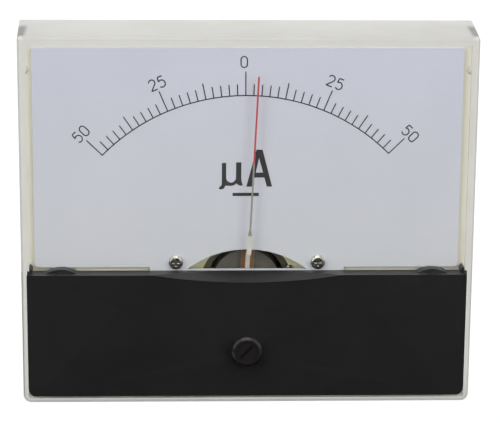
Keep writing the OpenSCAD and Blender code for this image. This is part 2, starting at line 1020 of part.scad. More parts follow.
// ---- Movement, turning parts -------------------------------------------------------

module coil_former() {
    w = former_w;
    color([0.8, 0.8, 0.81])
        on_axis(pointer_rest)
            translate([-w / 2, 0, 0])
                along_x(0, w)
                    difference() {
                        translate([former_y - former_t, -former_r])
                            square([former_back_y - former_y + 2 * former_t, 2 * former_r]);
                        translate([former_y, -former_r + former_t])
                            square([former_back_y - former_y, 2 * (former_r - former_t)]);
                    }
}

module coil_winding() {
    color([0.72, 0.4, 0.2])
        on_axis(pointer_rest)
            along_x(-coil_w / 2, coil_w / 2)
                difference() {
                    translate([coil_y, -coil_r])
                        square([coil_back_y - coil_y, 2 * coil_r]);
                    translate([former_y - former_t, -former_r])
                        square([former_back_y - former_y + 2 * former_t, 2 * former_r]);
                }
}

module pivots() {
    color([0.6, 0.6, 0.62])
        on_axis() {
            rod(jewel_y - tip_in, collet_y, 0.06, pivot_r);
            rod(collet_y, stem_y, collet_r);
            rod(stem_y, coil_y, pivot_r);
            face_forward() {
                rod(-rear_jewel_y - tip_in, -rear_collet_y, 0.06, pivot_r);
                rod(-rear_collet_y, -pad_y, collet_r);
                rod(-pad_y, -coil_back_y, 1.8);
            }
        }
}

module balance_cross() {
    arm_y0 = cross_y + arm_wire_r + 0.05;
    color([0.8, 0.8, 0.78])
        on_axis(pointer_rest) {
            tube(cross_y, coil_y, cross_hub_r, pivot_r + 0.02);
            for (arm = [[90, cross_arm_r], [180, tail_slot_r - 0.5], [270, cross_arm_r]])
                rotate([0, arm[0], 0])
                    translate([0, arm_y0, pointer_boss_r])
                        cylinder(h = arm[1] - pointer_boss_r, r = arm_wire_r, $fn = 24);
        }
}

module balance_weights() {
    arm_y0 = cross_y + arm_wire_r + 0.05;
    color([0.78, 0.66, 0.36])
        on_axis(pointer_rest)
            for (w = [[90, side_weight_r, side_weight_l],
                      [180, coil_r + weight_r, tail_weight_l],
                      [270, side_weight_r, side_weight_l]])
                rotate([0, w[0], 0])
                    translate([0, arm_y0, w[1]])
                        difference() {
                            cylinder(h = w[2], r = weight_r, $fn = 32);
                            translate([0, 0, -through])
                                cylinder(h = w[2] + 2 * through, r = arm_wire_r + 0.03, $fn = 24);
                        }
}

module pointer() {
    tip = pointer_r - needle_w;
    color([0.8, 0.12, 0.08])
        on_axis(pointer_rest) {
            slab(stem_y, cross_y)
                difference() {
                    union() {
                        circle(pointer_boss_r);
                        translate([-stem_w / 2, 0])
                            square([stem_w, riser_r + stem_t]);
                    }
                    circle(pivot_r + 0.05);
                }
            translate([-stem_w / 2, needle_y - needle_t / 2, riser_r])
                cube([stem_w, cross_y - needle_y + needle_t / 2, stem_t]);
            slab(needle_y - needle_t / 2, needle_y + needle_t / 2)
                polygon([[-stem_w / 2, riser_r],
                         [stem_w / 2, riser_r],
                         [stem_w / 2, paddle_r],
                         [needle_w / 2, paddle_r + 1.8],
                         [needle_w / 2, tip],
                         [0, pointer_r],
                         [-needle_w / 2, tip],
                         [-needle_w / 2, paddle_r + 1.8],
                         [-stem_w / 2, paddle_r]]);
        }
}

// ---- Zero adjuster -----------------------------------------------------------------

module zero_arm() {
    fork_w = 2 * (zero_pin_r + fork_gap);
    slot_r = zero_drop - zero_throw - zero_pin_r - 0.4;
    end_r = zero_drop + zero_pin_r + 0.8;
    tab_y = spring_y + spring_w;
    color([0.78, 0.68, 0.4])
        on_axis() {
            slab(arm_y, arm_y + arm_t)
                difference() {
                    union() {
                        circle(3);
                        translate([-1.5, -slot_r])
                            square([3, slot_r]);
                        translate([-fork_w / 2 - 1.2, -end_r])
                            square([fork_w + 2.4, end_r - slot_r + 1.5]);
                        rotate(-arm_tab_a)
                            translate([-tab_w / 2, 0])
                                square([tab_w, spring_out_r + tab_t]);
                    }
                    circle(jewel_screw_r + run_gap);
                    translate([-fork_w / 2, -end_r - through])
                        square([fork_w, end_r - slot_r + through]);
                }
            rotate([0, arm_tab_a, 0])
                translate([-tab_w / 2, arm_y, spring_out_r])
                    cube([tab_w, tab_y - arm_y, tab_t]);
        }
}

module front_hairspring() {
    color([0.8, 0.66, 0.42])
        on_axis()
            slab(spring_y, spring_y + spring_w)
                spiral(arm_tab_a);
}

module zero_screw() {
    head_y = front_y - zero_proud;
    seat_y = glass_y - zero_web;
    pin_y = arm_y - 0.3;
    color([0.09, 0.09, 0.095])
        at(0, zero_z)
            difference() {
                union() {
                    rod(head_y + zero_edge, seat_y, zero_head_r);
                    rod(head_y, head_y + zero_edge, zero_head_r - zero_edge, zero_head_r);
                    rod(seat_y, clip_y - 0.02, zero_journal_r);
                    rod(clip_y - 0.02, clip_y + clip_t + 0.02, zero_journal_r - clip_groove);
                    rod(clip_y + clip_t + 0.02, pin_y, zero_journal_r);
                    at(0, zero_throw)
                        rod(pin_y, arm_y + arm_t + 0.6, zero_pin_r);
                }
                rod(head_y - through, head_y + zero_dish, zero_head_r - zero_lip);
                rotate([0, zero_slot_angle, 0])
                    translate([0, head_y, 0])
                        cube([zero_slot_w, 2 * zero_slot_t, 2 * (zero_head_r - zero_slot_end)],
                             center = true);
            }
}

module zero_clip() {
    color([0.6, 0.6, 0.58])
        at(0, zero_z)
            difference() {
                rod(clip_y, clip_y + clip_t, zero_journal_r + clip_rim);
                rod(clip_y - through, clip_y + clip_t + through, zero_journal_r - clip_groove + 0.03);
                translate([-clip_mouth / 2, clip_y - through, -2 * zero_journal_r])
                    cube([clip_mouth, clip_t + 2 * through, 2 * zero_journal_r]);
            }
}

// Bent strap from a terminal's head at (x0, term_z) to the depth y1 at (x1, axis_z)
module strap(x0, x1, y1) {
    dx = x1 - x0;
    dz = axis_z - term_z;
    run = norm([dx, dz]);
    half_t = strap_t / 2;
    at(x0, term_z)
        rotate([0, atan2(-dz, dx), 0])
            translate([0, 0, -strap_w / 2])
                linear_extrude(strap_w)
                    polygon([[-half_t, strap_y],
                             [half_t, strap_y],
                             [half_t, strap_run_y],
                             [run + half_t, strap_run_y],
                             [run + half_t, y1],
                             [run - half_t, y1],
                             [run - half_t, strap_run_y - strap_t],
                             [-half_t, strap_run_y - strap_t]]);
}

// The right strap runs to the front bridge's foot and the left one to the rear bridge
module lead_straps() {
    color([0.78, 0.66, 0.36]) {
        strap(term_dx / 2, strap_front_x, frame_y);
        strap(-term_dx / 2, -strap_rear_x, rear_bridge_y + bridge_t);
    }
}

// ---- Drawing ----------------------------------------------------------------------

front_cover();
lower_mask();
rear_case();
dial_plate();
dial_screws();
movement_frame();
frame_screws();
yoke_ring();
yoke_screws();
core_magnet();
core_keys();
core_screws();
front_bridge();
rear_bridge();
rear_pillars();
bridge_screws();
front_jewel_screw();
rear_jewel_screw();
jewels();
jewel_lock_nuts();
rear_hairspring();
mounting_studs();
terminal_studs();
terminal_nuts();
terminal_washers();
solder_lugs();
pointer();
balance_cross();
balance_weights();
coil_former();
coil_winding();
pivots();
zero_arm();
front_hairspring();
zero_screw();
zero_clip();
lead_straps();
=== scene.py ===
"""Finishes an analog panel meter: clear cover, printed dial, threads, materials and studio."""
import json
import math

import bmesh
import bpy
from bpy.props import FloatProperty, FloatVectorProperty, IntProperty, PointerProperty
from mathutils import Matrix, Vector
from mathutils.geometry import tessellate_polygon


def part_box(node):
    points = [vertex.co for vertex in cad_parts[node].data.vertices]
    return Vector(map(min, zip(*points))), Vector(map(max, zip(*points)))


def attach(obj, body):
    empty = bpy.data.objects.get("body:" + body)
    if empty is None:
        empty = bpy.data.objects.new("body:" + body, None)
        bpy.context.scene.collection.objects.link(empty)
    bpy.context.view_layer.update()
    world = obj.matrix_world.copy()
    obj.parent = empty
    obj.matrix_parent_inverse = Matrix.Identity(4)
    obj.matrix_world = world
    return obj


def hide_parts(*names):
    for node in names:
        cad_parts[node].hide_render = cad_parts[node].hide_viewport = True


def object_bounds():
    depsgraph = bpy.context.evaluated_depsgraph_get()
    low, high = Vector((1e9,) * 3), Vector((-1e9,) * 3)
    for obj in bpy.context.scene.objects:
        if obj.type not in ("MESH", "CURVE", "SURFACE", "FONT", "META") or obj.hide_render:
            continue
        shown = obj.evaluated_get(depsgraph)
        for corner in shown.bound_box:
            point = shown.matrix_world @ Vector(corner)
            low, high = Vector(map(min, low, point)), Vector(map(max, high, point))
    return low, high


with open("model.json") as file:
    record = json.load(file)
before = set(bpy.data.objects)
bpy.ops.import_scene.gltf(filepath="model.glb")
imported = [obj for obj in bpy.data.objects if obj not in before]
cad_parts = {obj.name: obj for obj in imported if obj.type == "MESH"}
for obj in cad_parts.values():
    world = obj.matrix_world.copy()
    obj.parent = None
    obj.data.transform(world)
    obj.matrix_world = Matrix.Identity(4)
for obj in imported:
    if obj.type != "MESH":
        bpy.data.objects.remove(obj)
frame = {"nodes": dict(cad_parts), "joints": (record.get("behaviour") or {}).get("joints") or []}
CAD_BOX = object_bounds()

bl_info = {
    "name": "Panel Meter Finisher",
    "version": (1, 0, 0),
    "blender": (4, 5, 0),
    "location": "View3D > Sidebar > Meter",
    "description": "Finishes a moving-coil panel meter and sets it in a plain studio",
    "category": "Object",
}

MM = 0.001
JOINTS = {joint["name"]: joint for joint in frame["joints"]}
AXIS_Z = JOINTS["pointer_swing"]["pos_m"][2]
ZERO_Z = JOINTS["zero_screw_turn"]["pos_m"][2]
COVER_LOW, COVER_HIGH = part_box("front_cover")
FRONT_Y = COVER_LOW.y
DIAL_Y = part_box("dial_plate")[0].y
MASK_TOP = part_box("lower_mask")[1].z
YOKE_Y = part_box("yoke_ring")[0].y
CORE_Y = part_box("core_magnet")[0].y


# ---- settings


def length(name, description, millimetres):
    """A length that the user may change, with its default in millimetres."""
    return FloatProperty(name=name, description=description, default=millimetres * MM, unit="LENGTH")


def angle(name, description, degrees):
    """An angle that the user may change, with its default in degrees."""
    return FloatProperty(name=name, description=description, default=math.radians(degrees), subtype="ANGLE")


def colour(name, description, red, green, blue):
    """A colour that the user may change."""
    return FloatVectorProperty(name=name, description=description, default=(red, green, blue), size=3,
                               subtype="COLOR")


def power(name, description, watts):
    """A lamp's power, which the user may change."""
    return FloatProperty(name=name, description=description, default=watts, unit="POWER")


class CoverSettings(bpy.types.PropertyGroup):
    """Sizes and colours of the clear moulded cover."""

    front_wall: length("Front wall", "Thickness of the clear front", 2)
    side_wall: length("Side wall", "Thickness of the four side walls", 1.3)
    draft: length("Draft", "How far each side leans in from back to front", 0.7)
    lip: length("Back lip", "Straight part of the wall at the panel", 0.4)
    corner: length("Lower corner radius", "Radius of the two lower corners", 2)
    top_corner: length("Upper corner radius", "Radius of the two upper corners", 0.6)
    inner_corner: length("Inner corner radius", "Radius of the corners inside", 0.7)
    crease: length("Crease radius", "Radius left at the front's upper corners", 0.02)
    edge: length("Edge radius", "Radius round the front", 0.9)
    satin_margin: length("Satin margin", "Width of the satin border on the front face", 0.45)
    cloudy_margin: length("Cloudy margin", "Width of the border on the front face above the mask", 1.25)
    screw_sink: length("Screw sink", "Radius of the sink for the zero screw's head", 4.1)
    screw_web: length("Screw web", "Wall left behind the zero screw's head", 0.7)
    screw_hole: length("Screw hole", "Radius of the hole for the zero screw", 2.55)
    pip: length("Snap pip", "Radius of the pips that hold the cover on", 0.9)
    pip_depth: length("Snap pip depth", "Distance of the pips from the panel", 8.7)
    upper_pip: length("Upper pip", "Height of the upper pips", 38)
    lower_pip: length("Lower pip", "Height of the lower pips", -30)
    gate: length("Gate mark", "Radius of the two gate marks", 1.1)
    gate_proud: length("Gate mark's stand", "How far a gate mark's middle stands in from the wall", 0.5)
    gate_depth: length("Gate mark's depth", "Distance of the gate marks from the panel", 16.4)
    gate_height: length("Gate mark's height", "Height of the gate marks", 39.9)
    tint: colour("Tint", "Colour of the clear plastic", 0.955, 0.955, 0.925)
    satin: colour("Satin tint", "Colour of the satin side walls", 0.55, 0.543, 0.512)
    # The shade colour is painted shade: the dark that the satin plastic takes at its upper corners and beside the
    # mask.
    shade: colour("Shade", "Colour where the satin plastic shows dark", 0.2, 0.2, 0.19)


class DialSettings(bpy.types.PropertyGroup):
    """Sizes and colours of the printed dial."""

    side_divisions: IntProperty(name="Divisions a side", description="Scale divisions on each side of nought",
                                default=20)
    half_angle: angle("Half angle", "Angle from nought to either end of the scale", 45.458)
    turn: angle("Turn", "Turn of the print about its centre", 0.347)
    arc_radius: length("Arc radius", "Radius of the scale's arc", 52.57)
    arc_x: length("Arc centre X", "Sideways place of the arc's centre", -0.295)
    arc_z: length("Arc centre Z", "Height of the arc's centre", -19.76)
    nought_mark: length("Nought mark", "Length of the mark at nought", 6.5)
    long_mark: length("Long mark", "Length of every tenth mark", 5.9)
    middle_mark: length("Middle mark", "Length of every fifth mark", 4.5)
    short_mark: length("Short mark", "Length of the other marks", 3.15)
    mark_width: length("Mark width", "Width of the scale's lines", 0.3)
    digit_height: length("Digit height", "Height of the scale's numbers", 3.2)
    digit_width: length("Digit width", "Width of one digit", 1.95)
    digit_step: length("Digit step", "Distance from one digit to the next", 2.45)
    digit_stroke: length("Digit stroke", "Width of the numbers' strokes", 0.32)
    ink_lift: length("Ink lift", "How far the ink stands proud of the paint", 0.02)
    # The dial's colour at its top and at its foot; the change between them is painted light.
    paint: colour("Paint", "Colour of the dial", 0.568, 0.58, 0.693)
    paint_foot_falloff: colour("Paint, low", "Colour of the dial towards its foot", 0.58, 0.592, 0.652)
    ink: colour("Ink", "Colour of the print", 0.018, 0.018, 0.021)


class MovementSettings(bpy.types.PropertyGroup):
    """Colours of the needle and the coil."""

    stem_from: length("Stem from", "Distance from the axis at which the paddle narrows to the bare stem", 14.7)
    red_from: length("Red from", "Distance from the axis at which the needle turns red", 34.4)
    paddle: colour("Paddle cream", "Colour of the needle's broad foot", 0.6, 0.59, 0.55)
    stem: colour("Stem grey", "Colour of the needle's thin stem", 0.27, 0.265, 0.25)
    red: colour("Needle red", "Colour of the needle's outer part", 0.5, 0.07, 0.068)
    wire: colour("Wire", "Colour of the coil's enamelled wire", 0.55, 0.27, 0.13)
    wire_pitch: length("Wire pitch", "Distance from one turn of wire to the next", 0.12)


class StudSettings(bpy.types.PropertyGroup):
    """Sizes of the threads."""

    radius: length("Radius", "Radius over the threads", 2)
    pitch: length("Pitch", "Pitch of the threads", 0.7)
    depth: length("Depth", "Depth of the threads", 0.34)
    sides: IntProperty(name="Sides", description="Facets round a thread", default=24)


class StudioSettings(bpy.types.PropertyGroup):
    """Camera, lamps and background."""

    distance: length("Distance", "Distance from the camera to its target", 563.68)
    azimuth: angle("Azimuth", "How far round the camera stands", -2.16)
    elevation: angle("Elevation", "How far above the target the camera stands", 14.98)
    roll: FloatProperty(name="Roll", description="Turn of the camera about its own line of sight",
                        default=0.00824, subtype="ANGLE")
    lens: FloatProperty(name="Lens", description="Focal length in millimetres on a 36 mm sensor", default=155.83)
    target: FloatVectorProperty(name="Target", description="Point that the camera looks at", size=3,
                                default=(0.474 * MM, FRONT_Y, 3.316 * MM), subtype="TRANSLATION")
    top_power: power("Top lamp", "Power of the large lamp above", 5.8)
    left_power: power("Left lamp", "Power of the lamp at the left", 3.6)
    right_power: power("Right lamp", "Power of the lamp at the right", 3.6)
    rear_power: power("Rear lamp", "Power of the lamp behind", 4.0)
    ambient: FloatProperty(name="Room light", description="Strength of the even light from all round",
                           default=0.74)
    floor_glow: FloatProperty(name="Floor glow", default=0.85,
                              description="Part of the floor's white that doesn't depend on the lamps")
    floor_colour: colour("Floor", "Part of the floor's white that takes the shadow", 0.2, 0.2, 0.2)


# ---- node helpers

FLOAT, WHOLE, COLOUR, VECTOR = "NodeSocketFloat", "NodeSocketInt", "NodeSocketColor", "NodeSocketVector"
SHAPE, MATERIAL = "NodeSocketGeometry", "NodeSocketMaterial"


class Wiring:
    """Adds nodes to a tree: each input is a number, a colour or another node's output."""

    def __init__(self, tree):
        self.nodes = tree.nodes
        self.links = tree.links

    def add(self, kind, inputs=None, **settings):
        node = self.nodes.new(kind)
        for key, value in settings.items():
            setattr(node, key, value)
        for key, value in (inputs or {}).items():
            self.feed(node.inputs[key], value)
        return node

    def out(self, kind, inputs=None, **settings):
        """Add a node and return its first output."""
        return self.add(kind, inputs, **settings).outputs[0]

    def feed(self, socket, value):
        if isinstance(value, bpy.types.NodeSocket):
            self.links.new(value, socket)
        else:
            socket.default_value = value

    def math(self, operation, *values):
        return self.out("ShaderNodeMath", dict(enumerate(values)), operation=operation)

    def minus(self, first, second):
        return self.math("SUBTRACT", first, second)

    def over(self, first, second):
        return self.math("DIVIDE", first, second)

    def times(self, *values):
        """The product of all the values."""
        product = values[0]
        for value in values[1:]:
            product = self.math("MULTIPLY", product, value)
        return product

    def vector(self, operation, *values):
        return self.out("ShaderNodeVectorMath", dict(enumerate(values)), operation=operation)

    def joined(self, x=0.0, y=0.0, z=0.0):
        """A vector from its three parts."""
        return self.out("ShaderNodeCombineXYZ", {0: x, 1: y, 2: z})

    def parts(self, vector):
        """A vector's three parts."""
        return self.add("ShaderNodeSeparateXYZ", {0: vector}).outputs

    def place(self):
        """The place on the object, in metres."""
        return self.add("ShaderNodeTexCoord").outputs["Object"]

    def noise(self, place, scale, detail, roughness, distortion=0.0):
        inputs = {"Vector": place, "Scale": scale, "Detail": detail, "Roughness": roughness,
                  "Distortion": distortion}
        return self.out("ShaderNodeTexNoise", inputs)

    def between(self, value, low, high, to_low=0.0, to_high=1.0):
        """Carry a value from one range to another, held at its ends."""
        inputs = {0: value, 1: low, 2: high, 3: to_low, 4: to_high}
        return self.out("ShaderNodeMapRange", inputs)

    def mix(self, factor, first, second, blend_type="MIX"):
        """Mix two colours."""
        node = self.add("ShaderNodeMix", data_type="RGBA", blend_type=blend_type)
        for index, value in ((0, factor), (6, first), (7, second)):
            self.feed(node.inputs[index], value)
        return node.outputs[2]

    def seen_directly(self):
        """1 for rays that reach the eye straight, by gloss or through clear plastic."""
        path = self.add("ShaderNodeLightPath").outputs
        by_eye = (path["Is Glossy Ray"], path["Is Transmission Ray"])
        return self.math("MAXIMUM", path["Is Camera Ray"], self.math("MAXIMUM", *by_eye))


def start_group(name, kind, inputs, outputs):
    """Start a node group with named sockets, and return it, its wiring, its input and its output."""
    group = bpy.data.node_groups.new(name, kind)
    for label, socket, value in inputs:
        made = group.interface.new_socket(label, in_out="INPUT", socket_type=socket)
        if value is not None:
            made.default_value = value
    for label, socket in outputs:
        group.interface.new_socket(label, in_out="OUTPUT", socket_type=socket)
    wiring = Wiring(group)
    return group, wiring, wiring.add("NodeGroupInput").outputs, wiring.add("NodeGroupOutput").inputs


def start_effect(name, inputs, outputs):
    """Start a shader group."""
    return start_group(name, "ShaderNodeTree", inputs, outputs)


# ---- shared effects


def build_moulded_skin():
    """Fine moulded grain, with slow changes of gloss over the surface."""
    group, w, given, result = start_effect(
        "Moulded Skin",
        [("Grain Size", FLOAT, 0.0004), ("Patch Size", FLOAT, 0.02), ("Dull", FLOAT, 0.45), ("Glossy", FLOAT, 0.3)],
        [("Height", FLOAT), ("Roughness", FLOAT)])
    place = w.place()
    grain = w.noise(place, w.over(1.0, given["Grain Size"]), 3.0, 0.6)
    patch = w.noise(place, w.over(1.0, given["Patch Size"]), 4.0, 0.55)
    w.feed(result["Height"], grain)
    w.feed(result["Roughness"], w.between(patch, 0.3, 0.7, given["Glossy"], given["Dull"]))
    return group


def build_brushed_lines():
    """Fine lines drawn out along one direction, as from a brush or a lathe tool."""
    group, w, given, result = start_effect(
        "Brushed Lines",
        [("Stretch", VECTOR, (300.0, 300.0, 6000.0)), ("Dull", FLOAT, 0.42), ("Glossy", FLOAT, 0.24)],
        [("Height", FLOAT), ("Roughness", FLOAT)])
    lines = w.noise(w.vector("MULTIPLY", w.place(), given["Stretch"]), 1.0, 4.0, 0.65)
    w.feed(result["Height"], lines)
    w.feed(result["Roughness"], w.between(lines, 0.3, 0.7, given["Glossy"], given["Dull"]))
    return group


def build_soft_mottle():
    """Two near colours that drift into each other."""
    group, w, given, result = start_effect(
        "Soft Mottle",
        [("Colour", COLOUR, (0.5, 0.5, 0.5, 1)), ("Drift", COLOUR, (0.45, 0.45, 0.45, 1)),
         ("Patch Size", FLOAT, 0.012)],
        [("Colour", COLOUR)])
    cloud = w.noise(w.place(), w.over(1.0, given["Patch Size"]), 5.0, 0.6, 0.4)
    w.feed(result["Colour"], w.mix(w.between(cloud, 0.35, 0.65), given["Colour"], given["Drift"]))
    return group


def build_settled_dust():
    """A little pale dust on faces that look up."""
    group, w, given, result = start_effect(
        "Settled Dust",
        [("Colour", COLOUR, (0.1, 0.1, 0.1, 1)), ("Dust", COLOUR, (0.3, 0.29, 0.27, 1)), ("Amount", FLOAT, 0.15)],
        [("Colour", COLOUR)])
    up = w.between(w.parts(w.add("ShaderNodeNewGeometry").outputs["Normal"])[2], 0.5, 1.0)
    specks = w.between(w.noise(w.place(), 900.0, 6.0, 0.75), 0.35, 0.7)
    w.feed(result["Colour"], w.mix(w.times(up, specks, given["Amount"]), given["Colour"], given["Dust"]))
    return group


def build_wound_wire():
    """Turns of round wire that lie side by side, with painted shade in the grooves between them."""
    group, w, given, result = start_effect(
        "Wound Wire",
        [("Pitch", FLOAT, 0.00012), ("Crown", COLOUR, (0.5, 0.2, 0.08, 1)), ("Groove", COLOUR, (0.1, 0.03, 0.01, 1))],
        [("Colour", COLOUR), ("Height", FLOAT)])
    across = w.over(w.parts(w.place())[0], given["Pitch"])
    turn = w.math("ABSOLUTE", w.minus(w.math("FRACT", across), 0.5))
    crown = w.math("SQRT", w.minus(1.0, w.math("POWER", w.times(turn, 2.0), 2.0)))
    w.feed(result["Colour"], w.mix(crown, given["Groove"], given["Crown"]))
    w.feed(result["Height"], crown)
    return group


BUILDERS = {"Moulded Skin": build_moulded_skin, "Brushed Lines": build_brushed_lines,
            "Soft Mottle": build_soft_mottle, "Settled Dust": build_settled_dust, "Wound Wire": build_wound_wire}
EFFECTS = {}


def effect(name):
    """Return a shared effect's node group, built once."""
    if name not in EFFECTS:
        EFFECTS[name] = BUILDERS[name]()
    return EFFECTS[name]


# ---- materials

ACRYLIC_IOR = 1.49
FINE_BUMP = 0.01 * MM
COARSE_BUMP = 0.02 * MM
# Painted shade: the greyer, darker colour laid on the tray's upper lip.
LIP_PAINTED_SHADE = (0.6, 0.605, 0.62, 1)
TURNED_COLOUR = (0.5, 0.48, 0.42, 1)
WHITE = (1, 1, 1)


class Finish:
    """A material with one Principled shader, and short ways to feed it from the shared effects."""

    def __init__(self, name, **constants):
        self.material = bpy.data.materials.new(name)
        self.material.use_nodes = True
        self.material.node_tree.nodes.clear()
        self.wiring = Wiring(self.material.node_tree)
        self.output = self.wiring.add("ShaderNodeOutputMaterial")
        self.shader = self.wiring.add("ShaderNodeBsdfPrincipled")
        self.wiring.feed(self.output.inputs["Surface"], self.shader.outputs[0])
        for key, value in constants.items():
            self.feed(key.replace("_", " "), value)

    def feed(self, socket, value):
        self.wiring.feed(self.shader.inputs[socket], value)

    def use(self, name, **inputs):
        """Place a shared effect and return its outputs."""
        node = self.wiring.add("ShaderNodeGroup", node_tree=effect(name))
        for key, value in inputs.items():
            self.wiring.feed(node.inputs[key.replace("_", " ")], value)
        return node.outputs

    def mottle(self, shade, drift, patch):
        """A colour that drifts softly to a near one."""
        return self.use("Soft Mottle", Colour=(*shade, 1), Drift=(*drift, 1), Patch_Size=patch)["Colour"]

    def skin(self, dull, glossy, strength=0.0, distance=FINE_BUMP, **sizes):
        """Take a moulded skin's gloss, and its grain where a strength is given."""
        made = self.use("Moulded Skin", Dull=dull, Glossy=glossy, **sizes)
        self.feed("Roughness", made["Roughness"])
        if strength:
            self.bump(made["Height"], strength, distance)

    def bump(self, height, strength, distance):
        inputs = {"Height": height, "Strength": strength, "Distance": distance}
        self.feed("Normal", self.wiring.out("ShaderNodeBump", inputs))


def moulded_plastic(name, shade, drift, dull, glossy, grain=0.35 * MM, depth=COARSE_BUMP, dust=0.0, shine=0.5,
                    lip=False):
    """Opaque moulded plastic with a fine skin, and with painted shade on the tray's upper lip where asked for: a
    greyer, darker band.
    """
    finish = Finish(name, Specular_IOR_Level=shine)
    w = finish.wiring
    finish.skin(dull, glossy, 0.25, depth, Grain_Size=grain)
    base = finish.mottle(shade, drift, 15 * MM)
    if dust:
        base = finish.use("Settled Dust", Colour=base, Amount=dust)["Colour"]
    if lip:
        place = w.parts(w.place())
        # Painted shade on the tray's upper lip, between these heights and depths.
        painted_lip_shade = w.times(w.between(place[2], 44 * MM, 46 * MM), w.between(place[1], -1 * MM, -3 * MM))
        base = w.mix(painted_lip_shade, base, LIP_PAINTED_SHADE)
    finish.feed("Base Color", base)
    return finish.material


def plated_metal(name, shade, drift, dull, glossy, stretch=(900.0, 900.0, 5000.0), strength=0.15, metallic=1.0,
                 turned_from=None):
    """Plated or turned metal with fine tool lines, turned bright behind a given depth."""
    finish = Finish(name, Metallic=metallic)
    w = finish.wiring
    lines = finish.use("Brushed Lines", Stretch=stretch, Dull=dull, Glossy=glossy)
    base = finish.mottle(shade, drift, 4 * MM)
    if turned_from is not None:
        depth = w.parts(w.place())[1]
        base = w.mix(w.between(depth, turned_from, turned_from + 0.3 * MM), base, TURNED_COLOUR)
    finish.feed("Base Color", base)
    finish.feed("Roughness", lines["Roughness"])
    finish.bump(lines["Height"], strength, FINE_BUMP)
    return finish.material


def clear_plastic(cover):
    """Clear moulded plastic, which lets the lamps' light through."""
    finish = Finish("clear acrylic", Base_Color=(*cover.tint, 1), IOR=ACRYLIC_IOR, Transmission_Weight=1.0)
    finish.skin(0.03, 0.0, 0.03, COARSE_BUMP, Grain_Size=6 * MM, Patch_Size=10 * MM)
    pass_lamp_light(finish)
    return finish.material


def satin_plastic(cover, name, clearness):
    """The cover's plastic where its mould is etched, with painted shade at the upper corners and a painted dark
    refraction of the black mask along the mask's left.
    """
    finish = Finish(name, IOR=ACRYLIC_IOR, Transmission_Weight=clearness)
    w = finish.wiring
    finish.skin(0.42, 0.3, 0.15, COARSE_BUMP, Grain_Size=0.25 * MM, Patch_Size=14 * MM)
    pale = [1.06 * part for part in cover.satin]
    cloudy = finish.mottle(cover.satin, pale, 20 * MM)
    x, y, z = w.parts(w.place())
    # Painted shade: a dark block at each upper corner, standing in for the dark refraction where the walls meet.
    corner_shade_side = w.between(w.math("ABSOLUTE", x), COVER_HIGH.x - 3 * MM, COVER_HIGH.x - 2 * MM)
    corner_shade_top = w.between(z, COVER_HIGH.z - 2.4 * MM, COVER_HIGH.z - 1.4 * MM)
    corner_shade_depth = w.times(w.between(y, -6 * MM, -10 * MM), w.between(y, -20.8 * MM, -19 * MM))
    # Painted reflection: a dark band on the left wall beside the mask, standing in for the mask's dark refraction.
    edge_x = COVER_LOW.x + cover.draft
    mask_refraction_edge = w.between(x, edge_x + 0.4 * MM, edge_x + 0.2 * MM)
    mask_refraction_height = w.times(w.between(z, MASK_TOP, MASK_TOP - 0.6 * MM),
                          w.between(z, COVER_LOW.z + 2 * MM, COVER_LOW.z + 3 * MM))
    # dark holds both painted marks, the corner shade and the mask's refraction, and turns the satin colour to the
    # shade colour.
    dark = w.math("MAXIMUM", w.times(corner_shade_depth, corner_shade_side, corner_shade_top), w.times(mask_refraction_edge, mask_refraction_height))
    finish.feed("Base Color", w.mix(dark, cloudy, (*cover.shade, 1)))
    pass_lamp_light(finish)
    return finish.material


def pass_lamp_light(finish):
    """Let shadow rays and the even light through a clear material."""
    w = finish.wiring
    path = w.add("ShaderNodeLightPath").outputs
    through = w.out("ShaderNodeBsdfTransparent", {"Color": (0.97, 0.97, 0.96, 1)})
    passes = w.math("MAXIMUM", path["Is Shadow Ray"], path["Is Diffuse Ray"])
    blend = w.out("ShaderNodeMixShader", {0: passes, 1: finish.shader.outputs[0], 2: through})
    w.feed(finish.output.inputs["Surface"], blend)


def dial_paint(dial):
    """Satin paint on the dial, with painted light: its colour shifts from the top towards its foot as the light over
    it does.
    """
    finish = Finish("dial paint", Specular_IOR_Level=0.3)
    w = finish.wiring
    # Painted light: with height the colour runs from the foot colour to the top colour, bluer at the top.
    rise = w.between(w.parts(w.place())[2], -12 * MM, 34 * MM)
    base = w.mix(rise, (*dial.paint_foot_falloff, 1), (*dial.paint, 1))
    drift = finish.mottle(WHITE, (0.965, 0.972, 0.965), 30 * MM)
    finish.feed("Base Color", w.mix(1.0, base, drift, "MULTIPLY"))
    finish.skin(0.62, 0.5, 0.12, FINE_BUMP, Grain_Size=0.12 * MM)
    return finish.material


def dial_ink(dial):
    """Printing ink."""
    finish = Finish("dial ink")
    finish.feed("Base Color", finish.mottle(dial.ink, [1.5 * part for part in dial.ink], 1 * MM))
    finish.skin(0.7, 0.55)
    return finish.material


def needle_paint(movement):
    """The needle, by the distance from the axis: a cream foot, a grey stem and a red end."""
    finish = Finish("needle paint")
    w = finish.wiring
    from_axis = w.vector("MULTIPLY", w.vector("SUBTRACT", w.place(), (0, 0, AXIS_Z)), (1, 0, 1))
    radius = w.add("ShaderNodeVectorMath", {0: from_axis}, operation="LENGTH").outputs["Value"]
    past_foot = w.between(radius, movement.stem_from - 0.2 * MM, movement.stem_from + 0.2 * MM)
    past_stem = w.between(radius, movement.red_from - 0.3 * MM, movement.red_from + 0.3 * MM)
    pale = w.mix(past_foot, (*movement.paddle, 1), (*movement.stem, 1))
    drift = finish.mottle(WHITE, (0.85, 0.85, 0.85), 2 * MM)
    finish.feed("Base Color", w.mix(1.0, w.mix(past_stem, pale, (*movement.red, 1)), drift, "MULTIPLY"))
    finish.skin(0.5, 0.35)
    return finish.material


